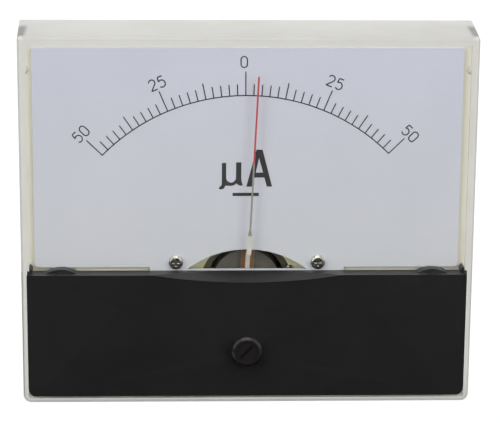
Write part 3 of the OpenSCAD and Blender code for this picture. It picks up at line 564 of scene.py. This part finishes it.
def enamelled_wire(movement):
    """The coil's winding of enamelled copper wire."""
    finish = Finish("enamelled wire", Metallic=0.35, Coat_Weight=0.5)
    # Painted shade: a quarter of the wire's colour, darkening the grooves between turns.
    groove = (0.25 * part for part in movement.wire)
    wire = finish.use("Wound Wire", Pitch=movement.wire_pitch, Crown=(*movement.wire, 1), Groove=(*groove, 1))
    finish.feed("Base Color", wire["Colour"])
    finish.skin(0.45, 0.3)
    finish.bump(wire["Height"], 0.6, 0.05 * MM)
    return finish.material


def ruby():
    """The bearings' synthetic ruby."""
    finish = Finish("ruby", Transmission_Weight=0.6, IOR=1.76)
    finish.feed("Base Color", finish.mottle((0.45, 0.02, 0.09), (0.3, 0.01, 0.05), 12 * MM))
    finish.skin(0.12, 0.04)
    return finish.material


def metal_finishes():
    """The metals of the movement, the screws and the terminals."""
    return {
        "nickel": plated_metal("nickel plate", (0.66, 0.65, 0.62), (0.58, 0.56, 0.52), 0.3, 0.14),
        "zinc": plated_metal("zinc plate", (0.62, 0.62, 0.61), (0.52, 0.53, 0.53), 0.42, 0.25),
        "brass": plated_metal("turned brass", (0.64, 0.47, 0.2), (0.55, 0.38, 0.15), 0.36, 0.2),
        "frame": plated_metal("cast frame", (0.79, 0.77, 0.54), (0.71, 0.69, 0.47), 0.6, 0.45,
                              stretch=(1500.0, 1500.0, 1500.0), strength=0.3, metallic=0.1),
        "iron": plated_metal("soft iron", (0.17, 0.158, 0.11), (0.125, 0.117, 0.08), 0.5, 0.35,
                             stretch=(800.0, 800.0, 800.0), strength=0.2, metallic=0.4,
                             turned_from=YOKE_Y + 0.1 * MM),
        "magnet": plated_metal("sintered magnet", (0.25, 0.235, 0.205), (0.2, 0.188, 0.165), 0.55, 0.38,
                               stretch=(2500.0, 2500.0, 2500.0), strength=0.3, metallic=0.4,
                               turned_from=CORE_Y + 0.1 * MM),
        "aluminium": plated_metal("aluminium", (0.72, 0.72, 0.72), (0.62, 0.62, 0.63), 0.42, 0.28),
        "bronze": plated_metal("spring bronze", (0.66, 0.42, 0.2), (0.55, 0.32, 0.14), 0.36, 0.22),
        "steel": plated_metal("hardened steel", (0.5, 0.5, 0.52), (0.42, 0.42, 0.44), 0.25, 0.12),
    }


METAL_OF = {
    "nickel": ["dial_screws", "frame_screws", "yoke_screws", "bridge_screws", "core_screws", "zero_clip",
               "terminal_washers", "solder_lugs"],
    "zinc": ["mounting_studs", "rear_pillars", "front_bridge"],
    "brass": ["terminal_studs", "terminal_nuts", "core_keys", "rear_bridge", "front_jewel_screw",
              "rear_jewel_screw", "jewel_lock_nuts", "balance_weights", "zero_arm"],
    "frame": ["movement_frame"],
    "iron": ["yoke_ring"],
    "magnet": ["core_magnet"],
    "aluminium": ["coil_former", "balance_cross"],
    "bronze": ["front_hairspring", "rear_hairspring", "lead_straps"],
    "steel": ["pivots"],
}


def dress(node, material):
    """Give a carried-over node its finish."""
    shown = frame["nodes"][node]
    shown.data.materials.clear()
    shown.data.materials.append(material)


# ---- mesh helpers

FLAT = 0.9985  # a face is flat when one part of its normal reaches this


def new_piece(name, mesh, material=None):
    """Put a mesh in the scene as a piece at the origin."""
    if material is not None:
        mesh.materials.append(material)
    piece = bpy.data.objects.new(name, mesh)
    bpy.context.scene.collection.objects.link(piece)
    return piece


def drawn_mesh(name, points, edges=()):
    """A mesh of bare points and edges."""
    mesh = bpy.data.meshes.new(name)
    mesh.from_pydata(points, edges, [])
    return mesh


def rounded_loop(half_w, half_h, upper, lower, steps=10):
    """Points round a rectangle with its own radii above and below, and one on each side at the mask's top."""
    points = []
    for quarter, (side, rise) in enumerate(((1, 1), (-1, 1), (-1, -1), (1, -1))):
        radius = upper if rise > 0 else lower
        for i in range(steps + 1):
            a = math.pi / 2 * (quarter + i / steps)
            points.append((side * (half_w - radius) + radius * math.cos(a),
                           rise * (half_h - radius) + radius * math.sin(a)))
        if side != rise:
            points.append((side * half_w, MASK_TOP))
    return points


def round_loop(radius, centre_z, steps=72):
    """Points round a circle."""
    turns = [2 * math.pi * i / steps for i in range(steps)]
    return [(radius * math.cos(a), centre_z + radius * math.sin(a)) for a in turns]


def add_ring(bm, loop, y):
    """Stand a loop of points in the mesh at a depth."""
    return [bm.verts.new((x, y, z)) for x, z in loop]


def bridge(bm, first, second):
    """Join two rings of equal count by a band of faces, and return the band."""
    band = []
    for i in range(len(first)):
        j = (i + 1) % len(first)
        band.append(bm.faces.new((first[i], first[j], second[j], second[i])))
    return band


def close_between(bm, rings):
    """Fill the flat area between an outer ring and any rings inside it."""
    verts = [vert for ring in rings for vert in ring]
    for triangle in tessellate_polygon([[vert.co for vert in ring] for ring in rings]):
        bm.faces.new([verts[i] for i in triangle])


def finish_mesh(bm, name):
    """Turn a closed bmesh into a mesh whose faces point outwards."""
    bmesh.ops.recalc_face_normals(bm, faces=bm.faces)
    mesh = bpy.data.meshes.new(name)
    bm.to_mesh(mesh)
    bm.free()
    return mesh


def bake(piece, modifier):
    """Replace a piece's mesh with what its modifier makes of it."""
    graph = bpy.context.evaluated_depsgraph_get()
    mesh = bpy.data.meshes.new_from_object(piece.evaluated_get(graph))
    piece.modifiers.remove(modifier)
    piece.data = mesh
    mesh.name = piece.name
    if not mesh.polygons:
        raise RuntimeError(piece.name + " came out empty")


def run_tree(name, tree, values, source=None):
    """Run a geometry tree once and return its result as a plain mesh piece."""
    piece = new_piece(name, source or bpy.data.meshes.new(name + "_seed"))
    build = piece.modifiers.new("Build", "NODES")
    build.node_group = tree
    for item in tree.interface.items_tree:
        if item.in_out == "INPUT" and item.name in values:
            build[item.identifier] = values[item.name]
    piece.update_tag()
    bake(piece, build)
    return piece


def start_shape(name, inputs):
    """Start a geometry tree with named inputs."""
    return start_group(name, "GeometryNodeTree", inputs, [("Geometry", SHAPE)])


def end_shape(w, result, shape, material):
    """End a geometry tree: make its shape real and give it its material."""
    real = w.out("GeometryNodeRealizeInstances", {0: shape})
    w.feed(result["Geometry"], w.out("GeometryNodeSetMaterial", {"Geometry": real, "Material": material}))


# ---- clear cover

CLEAR, SATIN, CLOUDY = range(3)
EDGE_STEPS = 8


def inner_lean(cover, y):
    """How far a side wall's inside stands out from the cover's greatest size, at a depth."""
    return cover.draft * y / (COVER_HIGH.y - FRONT_Y) - cover.side_wall


def outer_rings(bm, cover):
    """Rings up the outside, round the front edge and in over the front's two borders."""
    knee = FRONT_Y + cover.edge
    outline = [(0.0, 0.0, cover.top_corner, cover.corner), (-cover.lip, 0.0, cover.top_corner, cover.corner),
               (knee, cover.draft, cover.edge, cover.corner)]
    for i in range(1, EDGE_STEPS + 1):
        a = math.pi / 2 * i / EDGE_STEPS
        pull = cover.edge * (1 - math.cos(a))
        outline.append((knee - cover.edge * math.sin(a), pull + cover.draft, max(cover.edge - pull, cover.crease),
                        cover.corner - pull))
    for margin in (cover.satin_margin, cover.cloudy_margin):
        outline.append((FRONT_Y, cover.edge + cover.draft + margin, cover.crease,
                        max(cover.corner - cover.edge - margin, cover.crease)))
    return [add_ring(bm, rounded_loop(COVER_HIGH.x - inset, COVER_HIGH.z - inset, upper, lower), y)
            for y, inset, upper, lower in outline]


def build_cover_shell(cover):
    """The cover's closed shell: outside, round front edge, front, sink, inside and back rim."""
    bm = bmesh.new()
    rings = outer_rings(bm, cover)
    for first, second in zip(rings, rings[1:]):
        for face in bridge(bm, first, second):
            above_mask = face.calc_center_median().z > MASK_TOP
            if second is rings[-1]:
                face.material_index = CLOUDY if above_mask else CLEAR
            else:
                face.material_index = CLOUDY if second is rings[-2] else SATIN
    glass_y = FRONT_Y + cover.front_wall
    inside = []
    for y in (glass_y, 0.0):
        lean = inner_lean(cover, y)
        loop = rounded_loop(COVER_HIGH.x + lean, COVER_HIGH.z + lean, cover.inner_corner, cover.inner_corner)
        inside.append(add_ring(bm, loop, y))
    bridge(bm, inside[0], inside[1])
    bridge(bm, inside[1], rings[0])
    sink_y = glass_y - cover.screw_web
    sink = [add_ring(bm, round_loop(radius, ZERO_Z), y)
            for radius, y in ((cover.screw_sink, FRONT_Y), (cover.screw_sink, sink_y), (cover.screw_hole, sink_y),
                              (cover.screw_hole, glass_y))]
    close_between(bm, [rings[-1], sink[0]])
    for first, second in zip(sink, sink[1:]):
        bridge(bm, first, second)
    close_between(bm, [inside[0], sink[-1]])
    return finish_mesh(bm, "clear_cover")


def join_pips(shell, cover):
    """Join the snap pips and the two small gate marks to the inside of the side walls."""
    bm = bmesh.new()
    for depth, height, radius, proud in ((cover.pip_depth, cover.upper_pip, cover.pip, 0.0),
                                         (cover.pip_depth, cover.lower_pip, cover.pip, 0.0),
                                         (cover.gate_depth, cover.gate_height, cover.gate, cover.gate_proud)):
        wall_x = COVER_HIGH.x + inner_lean(cover, -depth) - proud
        for side in (-1, 1):
            spot = Matrix.Translation((side * wall_x, -depth, height))
            bmesh.ops.create_uvsphere(bm, u_segments=24, v_segments=12, radius=radius, matrix=spot)
    for face in bm.faces:
        face.material_index = SATIN
    pips = new_piece("pips_tool", finish_mesh(bm, "pips_tool"))
    for material in shell.data.materials:
        pips.data.materials.append(material)
    join = shell.modifiers.new("Pips", "BOOLEAN")
    join.operation = "UNION"
    join.solver = "EXACT"
    join.object = pips
    bake(shell, join)
    bpy.data.objects.remove(pips)


def shade_by_shape(mesh, crease):
    """Shade curved parts smooth and flat walls flat, with sharp edges kept."""
    for face in mesh.polygons:
        face.use_smooth = max(abs(part) for part in face.normal) < FLAT
    mesh.set_sharp_from_angle(angle=crease)


# ---- printed dial

ARC_STEPS = 160
# Each number with its middle in millimetres, across and up, and its tilt in degrees.
LABELS = (("50", -43.49, 22.55, 45), ("25", -23.66, 35.97, 22.5), ("0", -1.09, 41.66, 0),
          ("25", 22.63, 36.26, -22.5), ("50", 42.51, 22.67, -45))


def place_print(mesh):
    """Stand flat artwork on the dial's face: its X stays, its Y goes up and its Z comes forward."""
    mesh.transform(Matrix.Translation((0, DIAL_Y, 0)) @ Matrix.Rotation(math.pi / 2, 4, "X"))
    mesh.update()


def build_marks_tree():
    """Scale marks round an arc: every tenth long, every fifth middling."""
    tree, w, given, result = start_shape(
        "Scale Marks",
        [("Divisions", WHOLE, 20), ("Half Angle", FLOAT, 0.79), ("Turn", FLOAT, 0.0), ("Radius", FLOAT, 0.05),
         ("Nought", FLOAT, 0.006), ("Long", FLOAT, 0.005), ("Middle", FLOAT, 0.004), ("Short", FLOAT, 0.003),
         ("Width", FLOAT, 0.0003), ("Lift", FLOAT, 0.00002), ("Centre", VECTOR, (0, 0, 0)), ("Ink", MATERIAL, None)])
    count = w.math("ADD", w.times(given["Divisions"], 2.0), 1.0)
    points = w.out("GeometryNodePoints", {"Count": count})
    index = w.out("GeometryNodeInputIndex")
    step = w.minus(index, given["Divisions"])
    share = w.over(step, given["Divisions"])
    bearing = w.minus(w.times(share, given["Half Angle"]), given["Turn"])

    def every(count):
        return w.math("LESS_THAN", w.math("ABSOLUTE", w.math("WRAP", step, count / 2, -count / 2)), 0.4)

    reach = given["Short"]
    for chosen, size in ((every(5), "Middle"), (every(10), "Long"), (every(1000), "Nought")):
        rest = w.times(reach, w.minus(1.0, chosen))
        reach = w.math("ADD", rest, w.times(chosen, given[size]))
    out = w.math("ADD", given["Radius"], w.times(reach, 0.5))
    spot = w.joined(w.times(out, w.math("SINE", bearing)), w.times(out, w.math("COSINE", bearing)),
                    w.times(given["Lift"], 0.5))
    spots = {"Geometry": points, "Position": w.vector("ADD", spot, given["Centre"])}
    marks = w.out("GeometryNodeInstanceOnPoints", {
        "Points": w.out("GeometryNodeSetPosition", spots),
        "Instance": w.out("GeometryNodeMeshCube", {"Size": (1, 1, 1)}),
        "Rotation": w.joined(z=w.times(bearing, -1.0)),
        "Scale": w.joined(given["Width"], reach, given["Lift"])})
    end_shape(w, result, marks, given["Ink"])
    return tree


def build_stroke_tree():
    """A flat ribbon of ink along each path of the given drawing."""
    tree, w, given, result = start_shape(
        "Ink Stroke",
        [("Geometry", SHAPE, None), ("Width", FLOAT, 0.0003), ("Lift", FLOAT, 0.00002), ("Ink", MATERIAL, None)])
    path = w.out("GeometryNodeMeshToCurve", {0: given["Geometry"]})
    level = w.out("GeometryNodeSetCurveNormal", {"Curve": path}, mode="Z_UP")
    nib = w.out("GeometryNodeCurvePrimitiveQuadrilateral", {"Width": given["Width"], "Height": given["Lift"]})
    swept = {"Curve": level, "Profile Curve": nib, "Fill Caps": True}
    end_shape(w, result, w.out("GeometryNodeCurveToMesh", swept), given["Ink"])
    return tree


def curve_points(centre, radii, start, end, steps=14):
    """Points along part of an ellipse, with angles in degrees from the right."""
    angles = [math.radians(start + (end - start) * i / steps) for i in range(steps + 1)]
    return [(centre[0] + radii[0] * math.cos(a), centre[1] + radii[1] * math.sin(a)) for a in angles]


def digit_paths(digit, w, h):
    """Strokes of one digit, w and h each way from its middle, as lists of points and whether each is closed."""
    if digit == "0":
        side = h - w
        path = curve_points((0, side), (w, w), 0, 180, 20) + curve_points((0, -side), (w, w), 180, 360, 20)
        return [(path, True)]
    if digit == "2":
        top = curve_points((0, h - w), (w, w), 165, -38, 22)
        return [(top + [(-w, -h)], False), ([(-w - 0.04 * w, -h), (w, -h)], False)]
    if digit == "5":
        bowl_r = 0.66 * h
        bowl = curve_points((-0.08 * w, -h + bowl_r), (1.08 * w, bowl_r), 128, -142, 26)
        neck = (-0.86 * w, bowl[0][1] - 0.02 * h)
        return [([(0.82 * w, h), (-0.72 * w, h)], False), ([(-0.72 * w, h), neck], False), ([neck] + bowl, False)]
    raise ValueError("no strokes for digit " + digit)


def build_numbers_drawing(dial):
    """The scale's numbers as edges in the plane of the artwork."""
    verts, edges = [], []
    half_w = (dial.digit_width - dial.digit_stroke) / 2
    half_h = (dial.digit_height - dial.digit_stroke) / 2
    for text, x, z, tilt in LABELS:
        turn = Matrix.Rotation(math.radians(tilt) + dial.turn, 2)
        for place, digit in enumerate(text):
            shift = (place - (len(text) - 1) / 2) * dial.digit_step
            for path, closed in digit_paths(digit, half_w, half_h):
                first = len(verts)
                for px, py in path:
                    point = turn @ Vector((px + shift, py))
                    verts.append((x * MM + point.x, z * MM + point.y, dial.ink_lift / 2))
                edges += [(first + i, first + i + 1) for i in range(len(path) - 1)]
                if closed:
                    edges.append((len(verts) - 1, first))
    return drawn_mesh("numbers_drawing", verts, edges)


def build_arc_drawing(dial):
    """The scale's arc as edges in the plane of the artwork."""
    angles = [-dial.turn + dial.half_angle * (2 * i / ARC_STEPS - 1) for i in range(ARC_STEPS + 1)]
    verts = [(dial.arc_x + dial.arc_radius * math.sin(a), dial.arc_z + dial.arc_radius * math.cos(a),
              dial.ink_lift / 2) for a in angles]
    return drawn_mesh("arc_drawing", verts, [(i, i + 1) for i in range(ARC_STEPS)])


def unit_outlines():
    """Outlines of the unit's two letters and its underline, in millimetres on the dial."""
    bowl_in = curve_points((-4.33, 10.9), (1.29, 1.42), 180, 360, 16)
    bowl_out = [(-2.95, 9.3), (-3.35, 8.9), (-3.9, 8.66), (-4.5, 8.6), (-5.2, 8.64), (-5.85, 8.66)]
    foot = [(-6.0, 8.2), (-6.25, 7.85), (-6.7, 7.68), (-7.25, 7.62), (-7.55, 7.9), (-7.4, 8.3), (-7.0, 8.55),
            (-6.78, 9.0)]
    tail = [(-1.64, 10.5), (-1.5, 9.6), (-1.22, 8.75), (-1.9, 8.62), (-2.45, 8.86)]
    mu = [(-6.74, 14.8), (-5.62, 14.8)] + bowl_in + [(-3.03, 14.95), (-1.64, 14.95)] + tail + bowl_out + foot
    letter = [(2.27, 18.35), (3.88, 18.35), (6.47, 8.4), (5.07, 8.4), (4.4, 10.84), (1.83, 10.84), (1.24, 8.4),
              (-0.31, 8.4)]
    eye = [(2.12, 12.19), (4.08, 12.19), (2.97, 16.1)]
    line = [(-3.92, 6.72), (2.97, 6.72), (2.97, 5.84), (-3.92, 5.84)]
    return [[mu], [letter, eye], [line]]


def build_unit_mesh(dial):
    """The unit symbol and its underline as thin plates of ink."""
    bm = bmesh.new()
    for shape in unit_outlines():
        low, high = [], []
        for loop in shape:
            low.append([bm.verts.new((x * MM, z * MM, 0)) for x, z in loop])
            high.append([bm.verts.new((x * MM, z * MM, dial.ink_lift)) for x, z in loop])
            bridge(bm, low[-1], high[-1])
        close_between(bm, low)
        close_between(bm, high)
    return finish_mesh(bm, "unit_mark")


# ---- threads

ROWS_A_TURN = 8.0
HEXAGON = 6
# Each set of studs: its places across and up, and its sizes, all in millimetres.
STUD_SETS = {
    "mounting_studs": (48, (38, -38), {"Start": 0, "End": 14, "Shank Radius": 2.4, "Shank Start": -6.4,
                                       "Head Radius": 3.6, "Head Start": -8.8}),
    "terminal_studs": (16, (12,), {"Start": 35.5, "End": 50.5, "Shank Radius": 2, "Shank Start": 35.4,
                                   "Head Radius": 4.05, "Head Start": 33.2}),
}


def build_stud_tree():
    """Threaded studs with a plain shank and a hexagonal head, one at each point given."""
    tree, w, given, result = start_shape(
        "Threaded Stud",
        [("Geometry", SHAPE, None), ("Radius", FLOAT, 0.002), ("Pitch", FLOAT, 0.0007), ("Depth", FLOAT, 0.0003),
         ("Sides", WHOLE, 24), ("Start", FLOAT, 0.0), ("End", FLOAT, 0.014), ("Shank Radius", FLOAT, 0.0024),
         ("Shank Start", FLOAT, -0.006), ("Head Radius", FLOAT, 0.0036), ("Head Start", FLOAT, -0.009),
         ("Metal", MATERIAL, None)])

    def rod(vertices, radius, run, **more):
        sizes = {"Vertices": vertices, "Radius": radius, "Depth": run, **more}
        return w.out("GeometryNodeMeshCylinder", sizes)

    def lifted(geometry, start, end):
        shift = w.joined(z=w.times(w.math("ADD", start, end), 0.5))
        return w.out("GeometryNodeTransform", {"Geometry": geometry, "Translation": shift})

    def plain_bar(vertices, radius, start, end):
        return lifted(rod(vertices, radius, w.minus(end, start)), start, end)

    run = w.minus(given["End"], given["Start"])
    rows = w.times(w.over(run, given["Pitch"]), ROWS_A_TURN)
    place = w.out("GeometryNodeInputPosition")
    x, y, z = w.parts(place)
    turn = w.over(w.math("ARCTAN2", y, x), 2 * math.pi)
    phase = w.math("FRACT", w.minus(w.over(z, given["Pitch"]), turn))
    groove = w.minus(1.0, w.math("ABSOLUTE", w.minus(w.times(phase, 2.0), 1.0)))
    from_end = w.minus(w.times(run, 0.5), z)
    chamfer = w.between(from_end, 0.0, given["Pitch"], 1.0, 0.0)
    sunk = w.times(w.math("MAXIMUM", groove, chamfer), given["Depth"])
    shrink = w.minus(1.0, w.over(sunk, given["Radius"]))
    blank = rod(given["Sides"], given["Radius"], run, **{"Side Segments": rows})
    cut = {"Geometry": blank, "Position": w.vector("MULTIPLY", place, w.joined(shrink, shrink, 1.0))}
    thread = w.out("GeometryNodeSetPosition", cut)
    join = w.add("GeometryNodeJoinGeometry")
    for shape in (lifted(thread, given["Start"], given["End"]),
                  plain_bar(given["Sides"], given["Shank Radius"], given["Shank Start"], given["Start"]),
                  plain_bar(HEXAGON, given["Head Radius"], given["Head Start"], given["Shank Start"])):
        w.links.new(shape, join.inputs[0])
    laid = w.out("GeometryNodeTransform", {"Geometry": join.outputs[0], "Rotation": (-math.pi / 2, 0, 0)})
    studs = w.out("GeometryNodeInstanceOnPoints", {"Points": given["Geometry"], "Instance": laid})
    end_shape(w, result, studs, given["Metal"])
    return tree


# ---- studio

FLOOR_HALF = 2.5
CARD_CORNERS = ((-0.8, -1.1), (0.8, -23 * MM))
# Each lamp: its size, its place, and whether reflections show it.
LAMPS = {
    "top": (1.0, (-0.1, -0.6, 1.0), True),
    "left": (0.45, (-0.72, -0.56, 0.3), True),
    "right": (0.45, (0.66, -0.62, 0.3), True),
    "rear": (0.6, (0.15, 1.0, 0.15), False),
}


def background_world(studio):
    """White to the eye and to reflections, and an even room light to the surfaces."""
    world = bpy.data.worlds.new("studio room")
    world.use_nodes = True
    world.node_tree.nodes.clear()
    w = Wiring(world.node_tree)
    white = w.out("ShaderNodeBackground", {"Color": (1, 1, 1, 1), "Strength": 1.0})
    room = w.out("ShaderNodeBackground", {"Color": (0.99, 0.995, 1, 1), "Strength": studio.ambient})
    blend = w.out("ShaderNodeMixShader", {0: w.seen_directly(), 1: room, 2: white})
    w.feed(w.add("ShaderNodeOutputWorld").inputs[0], blend)
    return world


def matt(name, shade):
    """A finish without gloss."""
    return Finish(name, Base_Color=(*shade, 1), Roughness=1.0, Specular_IOR_Level=0.0)


def floor_material(studio):
    """A pale floor that glows evenly to the eye and still takes the meter's shadow."""
    finish = matt("studio floor", studio.floor_colour)
    w = finish.wiring
    glow = w.out("ShaderNodeEmission", {"Strength": w.times(w.seen_directly(), studio.floor_glow)})
    both = w.out("ShaderNodeAddShader", {0: finish.shader.outputs[0], 1: glow})
    w.feed(finish.output.inputs["Surface"], both)
    return finish.material


def flat_card(name, low, high, height, material):
    """A level rectangle."""
    mesh = bpy.data.meshes.new(name)
    corners = ((low[0], low[1]), (high[0], low[1]), (high[0], high[1]), (low[0], high[1]))
    mesh.from_pydata([(x, y, height) for x, y in corners], [], [(0, 1, 2, 3)])
    return new_piece(name, mesh, material)


def add_lamp(name, watts, size, place, target, shows_in_gloss):
    """A square white area lamp aimed at a point."""
    light = bpy.data.lights.new(name, "AREA")
    light.energy = watts
    light.size = size
    lamp = bpy.data.objects.new(name, light)
    lamp.location = place
    lamp.visible_glossy = shows_in_gloss
    lamp.visible_transmission = shows_in_gloss
    lamp.rotation_euler = (Vector(target) - Vector(place)).to_track_quat("-Z", "Y").to_euler()
    bpy.context.scene.collection.objects.link(lamp)


def add_camera(studio):
    """The camera, on a line of sight given by its target, distance and angles."""
    a, e, roll = studio.azimuth, studio.elevation, studio.roll
    back = Vector((math.sin(a) * math.cos(e), -math.cos(a) * math.cos(e), math.sin(e)))
    right = Vector((0, 0, 1)).cross(back).normalized()
    up = back.cross(right)
    across = right * math.cos(roll) + up * math.sin(roll)
    rise = up * math.cos(roll) - right * math.sin(roll)
    view = Matrix((across, rise, back)).transposed().to_4x4()
    view.translation = Vector(studio.target) + back * studio.distance
    data = bpy.data.cameras.new("studio camera")
    data.lens = studio.lens
    data.sensor_width = 36
    data.clip_start = 10 * MM
    camera = bpy.data.objects.new("studio camera", data)
    camera.matrix_world = view
    bpy.context.scene.collection.objects.link(camera)
    bpy.context.scene.camera = camera


# ---- operators


class METER_OT_dress_case(bpy.types.Operator):
    """Give the case, the mask, the dial plate and the zero screw their finishes"""

    bl_idname = "meter.dress_case"
    bl_label = "Dress case"

    def execute(self, context):
        dress("lower_mask", moulded_plastic("black moulding", (0.0125, 0.0122, 0.0138), (0.0155, 0.0148, 0.0167),
                                            0.42, 0.3, dust=0.04))
        dress("zero_screw", moulded_plastic("black screw", (0.0125, 0.0112, 0.0118), (0.016, 0.014, 0.0148),
                                            0.2, 0.12, grain=0.2 * MM, depth=FINE_BUMP, shine=0.3))
        # The cream case takes painted shade on its upper lip.
        dress("rear_case", moulded_plastic("cream moulding", (0.69, 0.67, 0.585), (0.66, 0.635, 0.54),
                                           0.5, 0.36, dust=0.1, lip=True))
        dress("dial_plate", dial_paint(context.scene.meter_dial))
        return {"FINISHED"}


class METER_OT_dress_movement(bpy.types.Operator):
    """Give the moving-coil movement, the screws and the terminals their finishes"""

    bl_idname = "meter.dress_movement"
    bl_label = "Dress movement"

    def execute(self, context):
        movement = context.scene.meter_movement
        metals = metal_finishes()
        for metal, nodes in METAL_OF.items():
            for node in nodes:
                dress(node, metals[metal])
        dress("pointer", needle_paint(movement))
        dress("coil_winding", enamelled_wire(movement))
        dress("jewels", ruby())
        return {"FINISHED"}


class METER_OT_make_cover(bpy.types.Operator):
    """Make the clear moulded cover with its round edges, screw sink and snap pips"""

    bl_idname = "meter.make_cover"
    bl_label = "Make clear cover"

    def execute(self, context):
        cover = context.scene.meter_cover
        shell = new_piece("clear_cover", build_cover_shell(cover), clear_plastic(cover))
        shell.data.materials.append(satin_plastic(cover, "satin acrylic", 0.35))
        shell.data.materials.append(satin_plastic(cover, "cloudy acrylic", 0.1))
        join_pips(shell, cover)
        shade_by_shape(shell.data, math.radians(30))
        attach(shell, "case")
        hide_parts("front_cover")
        return {"FINISHED"}


class METER_OT_print_dial(bpy.types.Operator):
    """Print the scale, its numbers and the unit on the dial"""

    bl_idname = "meter.print_dial"
    bl_label = "Print dial"

    def execute(self, context):
        dial = context.scene.meter_dial
        ink = dial_ink(dial)
        stroke = build_stroke_tree()
        marks = run_tree("scale_marks", build_marks_tree(), {
            "Divisions": dial.side_divisions, "Half Angle": dial.half_angle, "Turn": dial.turn,
            "Radius": dial.arc_radius - dial.mark_width / 2, "Nought": dial.nought_mark, "Long": dial.long_mark,
            "Middle": dial.middle_mark, "Short": dial.short_mark, "Width": dial.mark_width, "Lift": dial.ink_lift,
            "Centre": (dial.arc_x, dial.arc_z, 0.0), "Ink": ink})
        pen = {"Width": dial.mark_width, "Lift": dial.ink_lift, "Ink": ink}
        arc = run_tree("scale_arc", stroke, pen, build_arc_drawing(dial))
        numbers = run_tree("scale_numbers", stroke, {**pen, "Width": dial.digit_stroke},
                           build_numbers_drawing(dial))
        unit = new_piece("unit_mark", build_unit_mesh(dial), ink)
        for piece in (marks, arc, numbers, unit):
            place_print(piece.data)
            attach(piece, "case")
        return {"FINISHED"}


class METER_OT_cut_threads(bpy.types.Operator):
    """Make the mounting studs and the terminal studs with real threads"""

    bl_idname = "meter.cut_threads"
    bl_label = "Cut threads"

    def execute(self, context):
        studs = context.scene.meter_studs
        tree = build_stud_tree()
        for node, (x, heights, sizes) in STUD_SETS.items():
            places = [(side * x * MM, 0, z * MM) for side in (-1, 1) for z in heights]
            values = {key: value * MM for key, value in sizes.items()}
            values.update({"Radius": studs.radius, "Pitch": studs.pitch, "Depth": studs.depth, "Sides": studs.sides,
                           "Metal": frame["nodes"][node].data.materials[0]})
            piece = run_tree(node + "_threaded", tree, values, drawn_mesh(node + "_places", places))
            piece.data.shade_smooth()
            piece.data.set_sharp_from_angle(angle=math.radians(40))
            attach(piece, "case")
            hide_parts(node)
        return {"FINISHED"}


class METER_OT_set_stage(bpy.types.Operator):
    """Set the camera, the lamps, the floor and the white room"""

    bl_idname = "meter.set_stage"
    bl_label = "Set stage"

    def execute(self, context):
        scene = context.scene
        studio = scene.meter_studio
        scene.view_settings.view_transform = "Standard"
        scene.world = background_world(studio)
        add_camera(studio)
        foot_z = CAD_BOX[0].z
        floor = flat_card("studio_floor", (-FLOOR_HALF, -FLOOR_HALF), (FLOOR_HALF, FLOOR_HALF), foot_z - 0.1 * MM,
                          floor_material(studio))
        dark = matt("dark card", (0.005, 0.005, 0.005))
        card = flat_card("studio_card", *CARD_CORNERS, foot_z + 0.4 * MM, dark.material)
        card.visible_camera = False
        card.visible_diffuse = False
        card.visible_shadow = False
        for name, (size, place, shows_in_gloss) in LAMPS.items():
            watts = getattr(studio, name + "_power")
            add_lamp(name + " lamp", watts, size, place, (0, DIAL_Y, 0), shows_in_gloss)
        return {"FINISHED"}


class METER_PT_panel(bpy.types.Panel):
    """Lists the meter's settings and steps"""

    bl_idname = "METER_PT_panel"
    bl_label = "Panel meter"
    bl_space_type = "VIEW_3D"
    bl_region_type = "UI"
    bl_category = "Meter"

    def draw(self, context):
        for step in STEPS:
            self.layout.operator(step.bl_idname)
        for name, group in SETTINGS.items():
            box = self.layout.box()
            box.label(text=group.__doc__)
            for key in group.__annotations__:
                box.prop(getattr(context.scene, name), key)


SETTINGS = {"meter_cover": CoverSettings, "meter_dial": DialSettings, "meter_movement": MovementSettings,
            "meter_studs": StudSettings, "meter_studio": StudioSettings}
STEPS = (METER_OT_dress_case, METER_OT_dress_movement, METER_OT_make_cover, METER_OT_print_dial,
         METER_OT_cut_threads, METER_OT_set_stage)


def register():
    for group in (*SETTINGS.values(), *STEPS, METER_PT_panel):
        bpy.utils.register_class(group)
    for name, group in SETTINGS.items():
        setattr(bpy.types.Scene, name, PointerProperty(type=group))


def unregister():
    for name in SETTINGS:
        delattr(bpy.types.Scene, name)
    for group in (METER_PT_panel, *reversed(STEPS), *SETTINGS.values()):
        bpy.utils.unregister_class(group)


def main():
    """Run every step."""
    register()
    bpy.ops.meter.dress_case()
    bpy.ops.meter.dress_movement()
    bpy.ops.meter.make_cover()
    bpy.ops.meter.print_dial()
    bpy.ops.meter.cut_threads()
    bpy.ops.meter.set_stage()


if __name__ == "__main__":
    main()
